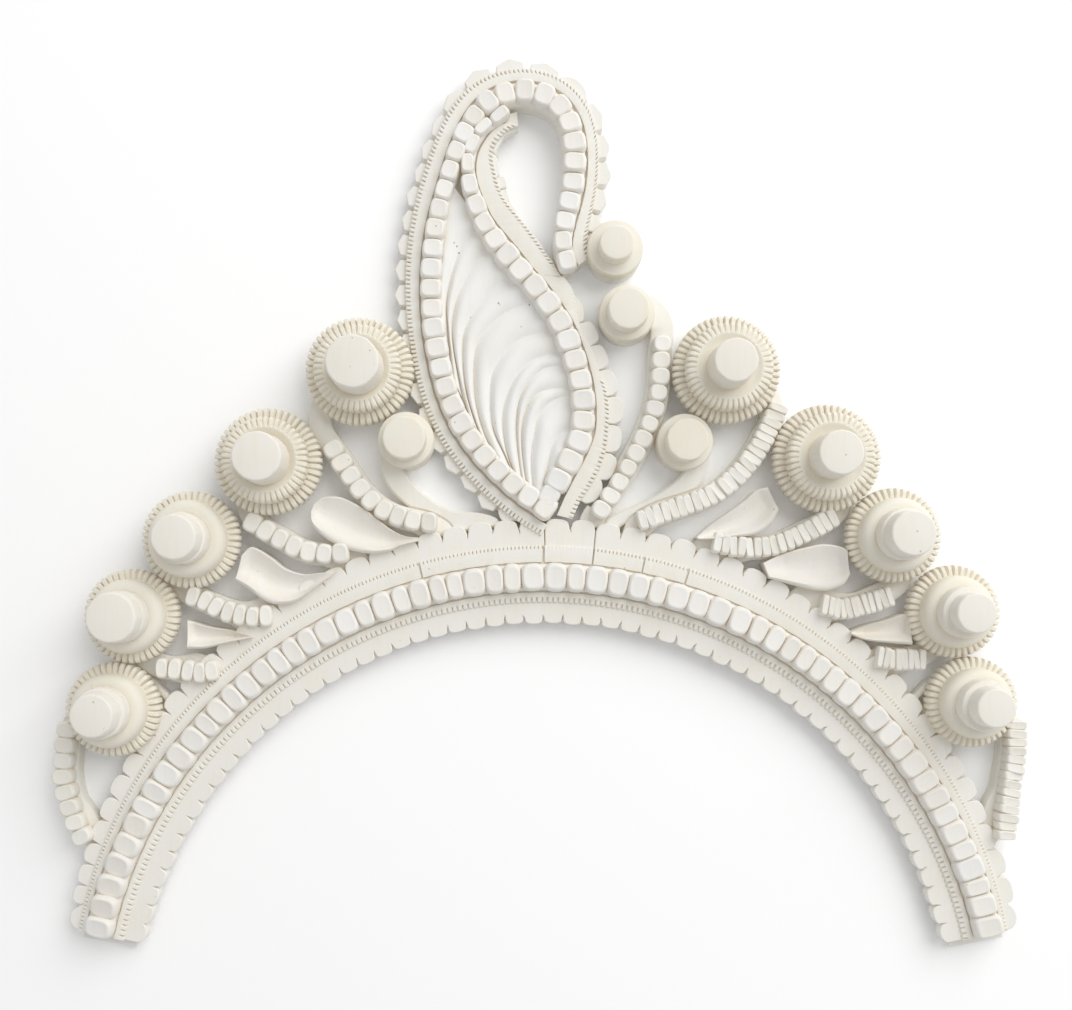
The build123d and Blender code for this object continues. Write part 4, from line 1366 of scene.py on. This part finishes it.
def tucked(edge):
    """An outline whose foot is drawn on under the tabs of the band."""
    moved = []
    for point in edge:
        away = point - arch_centre
        near = min(1.0, max(0.0, (tab_tip_radius - away.length) / 2))
        moved.append(point - away.normalized() * 2.5 * near)
    return moved


print("beads on the crest's stem:", len(beads_of("crest_stem")))

# %% [markdown]
# Stems 2 and 3 are so short that their solids carry only one to three beads. Their rows are placed
# bead by bead where the photograph shows them.

# %% Beads seen one by one
seen_bead_height = 7.5
short_bead_length = 3.3
seen_strings = {
    "left_stem_2": ((161, 668.5), (174, 669), (187, 671), (199, 673), (211, 671)),
    "left_stem_3": ((192, 596), (204, 601), (215, 607), (227, 612), (239, 615), (252, 617), (265, 616)),
    "right_stem_2": ((884, 658), (896, 660), (908, 660), (920, 660)),
    "right_stem_3": ((829, 606), (841, 609), (852, 608), (863, 605), (875, 602), (887, 598)),
}


def seen_beads(name):
    """Beads placed one by one: the middle of each and the way its string runs."""
    spots = [seen_at(*spot, seen_bead_height) for spot in seen_strings[name]]
    before = spots[:1] + spots[:-1]
    after = spots[1:] + spots[-1:]
    return [(here, (last - first).normalized())
            for here, first, last in zip(spots, before, after)]


print("beads placed one by one:", sum(len(spots) for spots in seen_strings.values()))

# %% [markdown]
# On the left the beads are soft cushions. On the right they are squarer rings scored across, so
# each bead there is made as two thin halves that tilt a little, each its own way.

# %% Stems
stem_bead_height = 4.1


def stem(name, head_node, head_beads, foot_beads, bead_width, squareness, scored, dice):
    """A stem's board and its beads, drawn on towards its head and over its foot."""
    if name in seen_strings:
        beads, length = seen_beads(name), short_bead_length
    else:
        head = centre_of(head_node)
        beads = [(centre, along) for centre, along, _, _ in beads_of(name)]
        if (beads[0][0] - head).length < (beads[-1][0] - head).length:
            beads.reverse()
        step = (beads[-1][0] - beads[-2][0]).length
        on_head = drawn_on(beads, step, head_beads, (head, radius_of(head_node) - 1.0))
        on_foot = drawn_on(beads[::-1], step, foot_beads)
        beads, length = on_foot[::-1] + beads + on_head, step * 1.08
    if scored:
        beads = [(centre + along * length * half, along)
                 for centre, along in beads for half in (-0.24, 0.24)]
        length *= 0.52
    edge = tucked(outline_of(name, 0))
    shapes = [plate(edge, edge, 0, seat_height - 0.1, 0.3)]
    for centre, along in beads:
        tilt = dice.uniform(-0.1, 0.1) if scored else 0
        shapes.append(cushion((centre, along, length, bead_width), seat_height - 0.3,
                              stem_bead_height, dice, squareness, 1.4, tilt))
    make_piece(name + "_beaded", joined(shapes), [name], 50)


dice = Random(71)
for side, squareness, scored in (("left", 2.9, False), ("right", 4.6, True)):
    for number in (1, 2, 3, 4, 5):
        head = f"{side}_rosette_{number}_base"
        stem(f"{side}_stem_{number}", head, 1, 1, 5.4, squareness, scored, dice)
stem("crest_stem", "crest_boss", 0, 3, 4.8, 2.6, False, dice)

# %% [markdown]
# Between the crest and the first stems lie two plain curved slips, cut from a flat sheet. They need
# no carving, so each is one plate with a broken edge.

# %% Plain slips
for name in ("left_crescent", "right_crescent"):
    edge = tucked(outline_of(name, 0))
    make_piece(name + "_slip", plate(edge, edge, 0, seat_height, 0.5), [name])

# %% [markdown]
# The six petals rise from the band between the stems. Each is a thick curl of pith with one edge
# low and the other drawn up into a lip, blunt at one end and pointed at the other. No two follow
# the same curve, so their two edges were read off the photograph, at the height of the lip.

# %% Edges of the petals
petal_edges = {
    "left_petal_1": (((418, 537.5), (405, 536), (390, 529), (370, 513), (352, 502), (338, 496.5),
                      (322, 497), (313.5, 504)),
                     ((418, 541), (400, 546), (389.6, 551), (370, 553.6), (345, 548.5), (325, 538),
                      (312, 525), (311, 512))),
    "left_petal_2": (((336, 571.4), (318, 573), (302, 574), (284, 568), (270, 557), (255.7, 548.2),
                      (248.6, 547.3), (241.4, 555.4)),
                     ((325, 580), (313, 589.3), (295, 601.8), (277, 604.5), (263, 600), (248.6, 589.3),
                      (235.2, 580.4))),
    "left_petal_3": (((250, 635.7), (229, 630.4), (207.5, 626.8), (187, 620.5)),
                     ((252, 637.5), (223.6, 643.8), (205.7, 648.2), (187, 649))),
    "right_petal_1": (((697, 537), (712, 524), (731, 511), (747, 499), (757, 490), (768, 487)),
                      ((700, 539), (716, 539), (737, 537), (757, 534), (771, 524), (779, 510))),
    "right_petal_2": (((764, 563), (785, 553), (808, 547), (824, 544), (840, 546), (848, 550)),
                      ((770, 578), (797, 585.5), (823.5, 591), (843, 585.5), (850, 576))),
    "right_petal_3": (((852, 632), (866, 626), (889, 620), (906, 614), (911.5, 620)),
                      ((852, 634), (866, 640), (889, 643), (912.5, 645))),
}
print("petals:", len(petal_edges))

# %% [markdown]
# A petal is lofted from its tip to its blunt end. `petal_form` goes across it from the low edge,
# through the hollow, to the lip; the hollow is shallow at the tip and closes again at the end.

# %% Petals
petal_form = ((-1.0, 6.0), (-0.92, 6.3), (-0.75, 5.9), (-0.4, 5.0), (0.0, 4.7), (0.3, 5.2),
              (0.52, 6.6), (0.66, 7.4), (0.82, 7.7), (0.94, 7.4), (1.0, 6.6))
petal_rows = 40
seen_lip_height = 7.2
flat_height = 6.9


def petal(name):
    """A curl of pith lofted between its two edges, from the tip to the blunt end."""
    upper, lower = (seen_line(line, seen_lip_height, petal_rows) for line in petal_edges[name])
    rows = []
    for number, (above, below) in enumerate(zip(upper, lower)):
        share = number / (petal_rows - 1)
        deep = min(1, share / 0.25) * (1 - max(0, (share - 0.9) / 0.1) * 0.9)
        row = [(*above, 0.0)]
        for across, height in petal_form:
            if height < flat_height:
                height = flat_height + (height - flat_height) * deep
            else:
                height -= (1 - deep) * 0.3
            row.append((*above.lerp(below, (across + 1) / 2), height))
        rows.append(row + [(*below, 0.0)])
    return lofted(rows)


for name in petal_edges:
    make_piece(name + "_curl", petal(name), [name], 50)

# %% [markdown]
# ## Boards
# The two boards at the back are plain flat sheets, seen only from the side and behind, so their
# solids stay as they are and take the board's pith.

# %% Finish the boards
for name, thing in frame["nodes"].items():
    thing.data.materials.clear()
    thing.data.materials.append(finishes[slot_of[name]])
print("solids kept:", [name for name in frame["nodes"] if slot_of[name] == "pith_board"])

# %% [markdown]
# ## Floor and light
# The crown lies on a plain white floor. It is marked as stage, because it isn't part of the crown.

# %% Floor
floor_finish = bpy.data.materials.new("pale_floor")
floor_finish.use_nodes = True
floor_shader = floor_finish.node_tree.nodes["Principled BSDF"]
floor_shader.inputs["Base Color"].default_value = (0.97, 0.97, 0.97, 1)
floor_shader.inputs["Roughness"].default_value = 0.9
bpy.ops.mesh.primitive_plane_add(size=3, location=(0, 0, 0))
floor = bpy.context.object
floor.name = "floor"
floor.data.materials.append(floor_finish)
floor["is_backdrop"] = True
print("floor in metres:", tuple(round(side, 2) for side in floor.dimensions))

# %% [markdown]
# The photograph is lit from nearly everywhere, with a broad light over the upper right that draws
# soft shadows to the lower left. So the world is bright, and one large soft light does the rest.
# The plain view transform keeps white pith white; a filmic one would turn it grey.

# %% Light
sky = bpy.data.worlds.new("studio")
sky.use_nodes = True
sky.node_tree.nodes["Background"].inputs["Color"].default_value = (1, 1, 1, 1)
sky.node_tree.nodes["Background"].inputs["Strength"].default_value = 0.62
bpy.context.scene.world = sky
softbox = bpy.data.lights.new("softbox", "AREA")
softbox.size = 1.0
softbox.energy = 9.5
softbox_object = bpy.data.objects.new("softbox", softbox)
softbox_object.location = (0.55, 0.62, 0.75)
softbox_object.rotation_euler = (-softbox_object.location).to_track_quat("-Z", "Y").to_euler()
bpy.context.collection.objects.link(softbox_object)
bpy.context.scene.view_settings.view_transform = "Standard"
print("softbox in metres:", softbox.size, "watts:", softbox.energy)

# %% [markdown]
# The size of the dressed crown is written out. Its pieces were read off the frame.

# %% Sizes
low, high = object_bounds()
print("dressed size in mm:", [round((b - a) / mm, 1) for a, b in zip(low, high)])
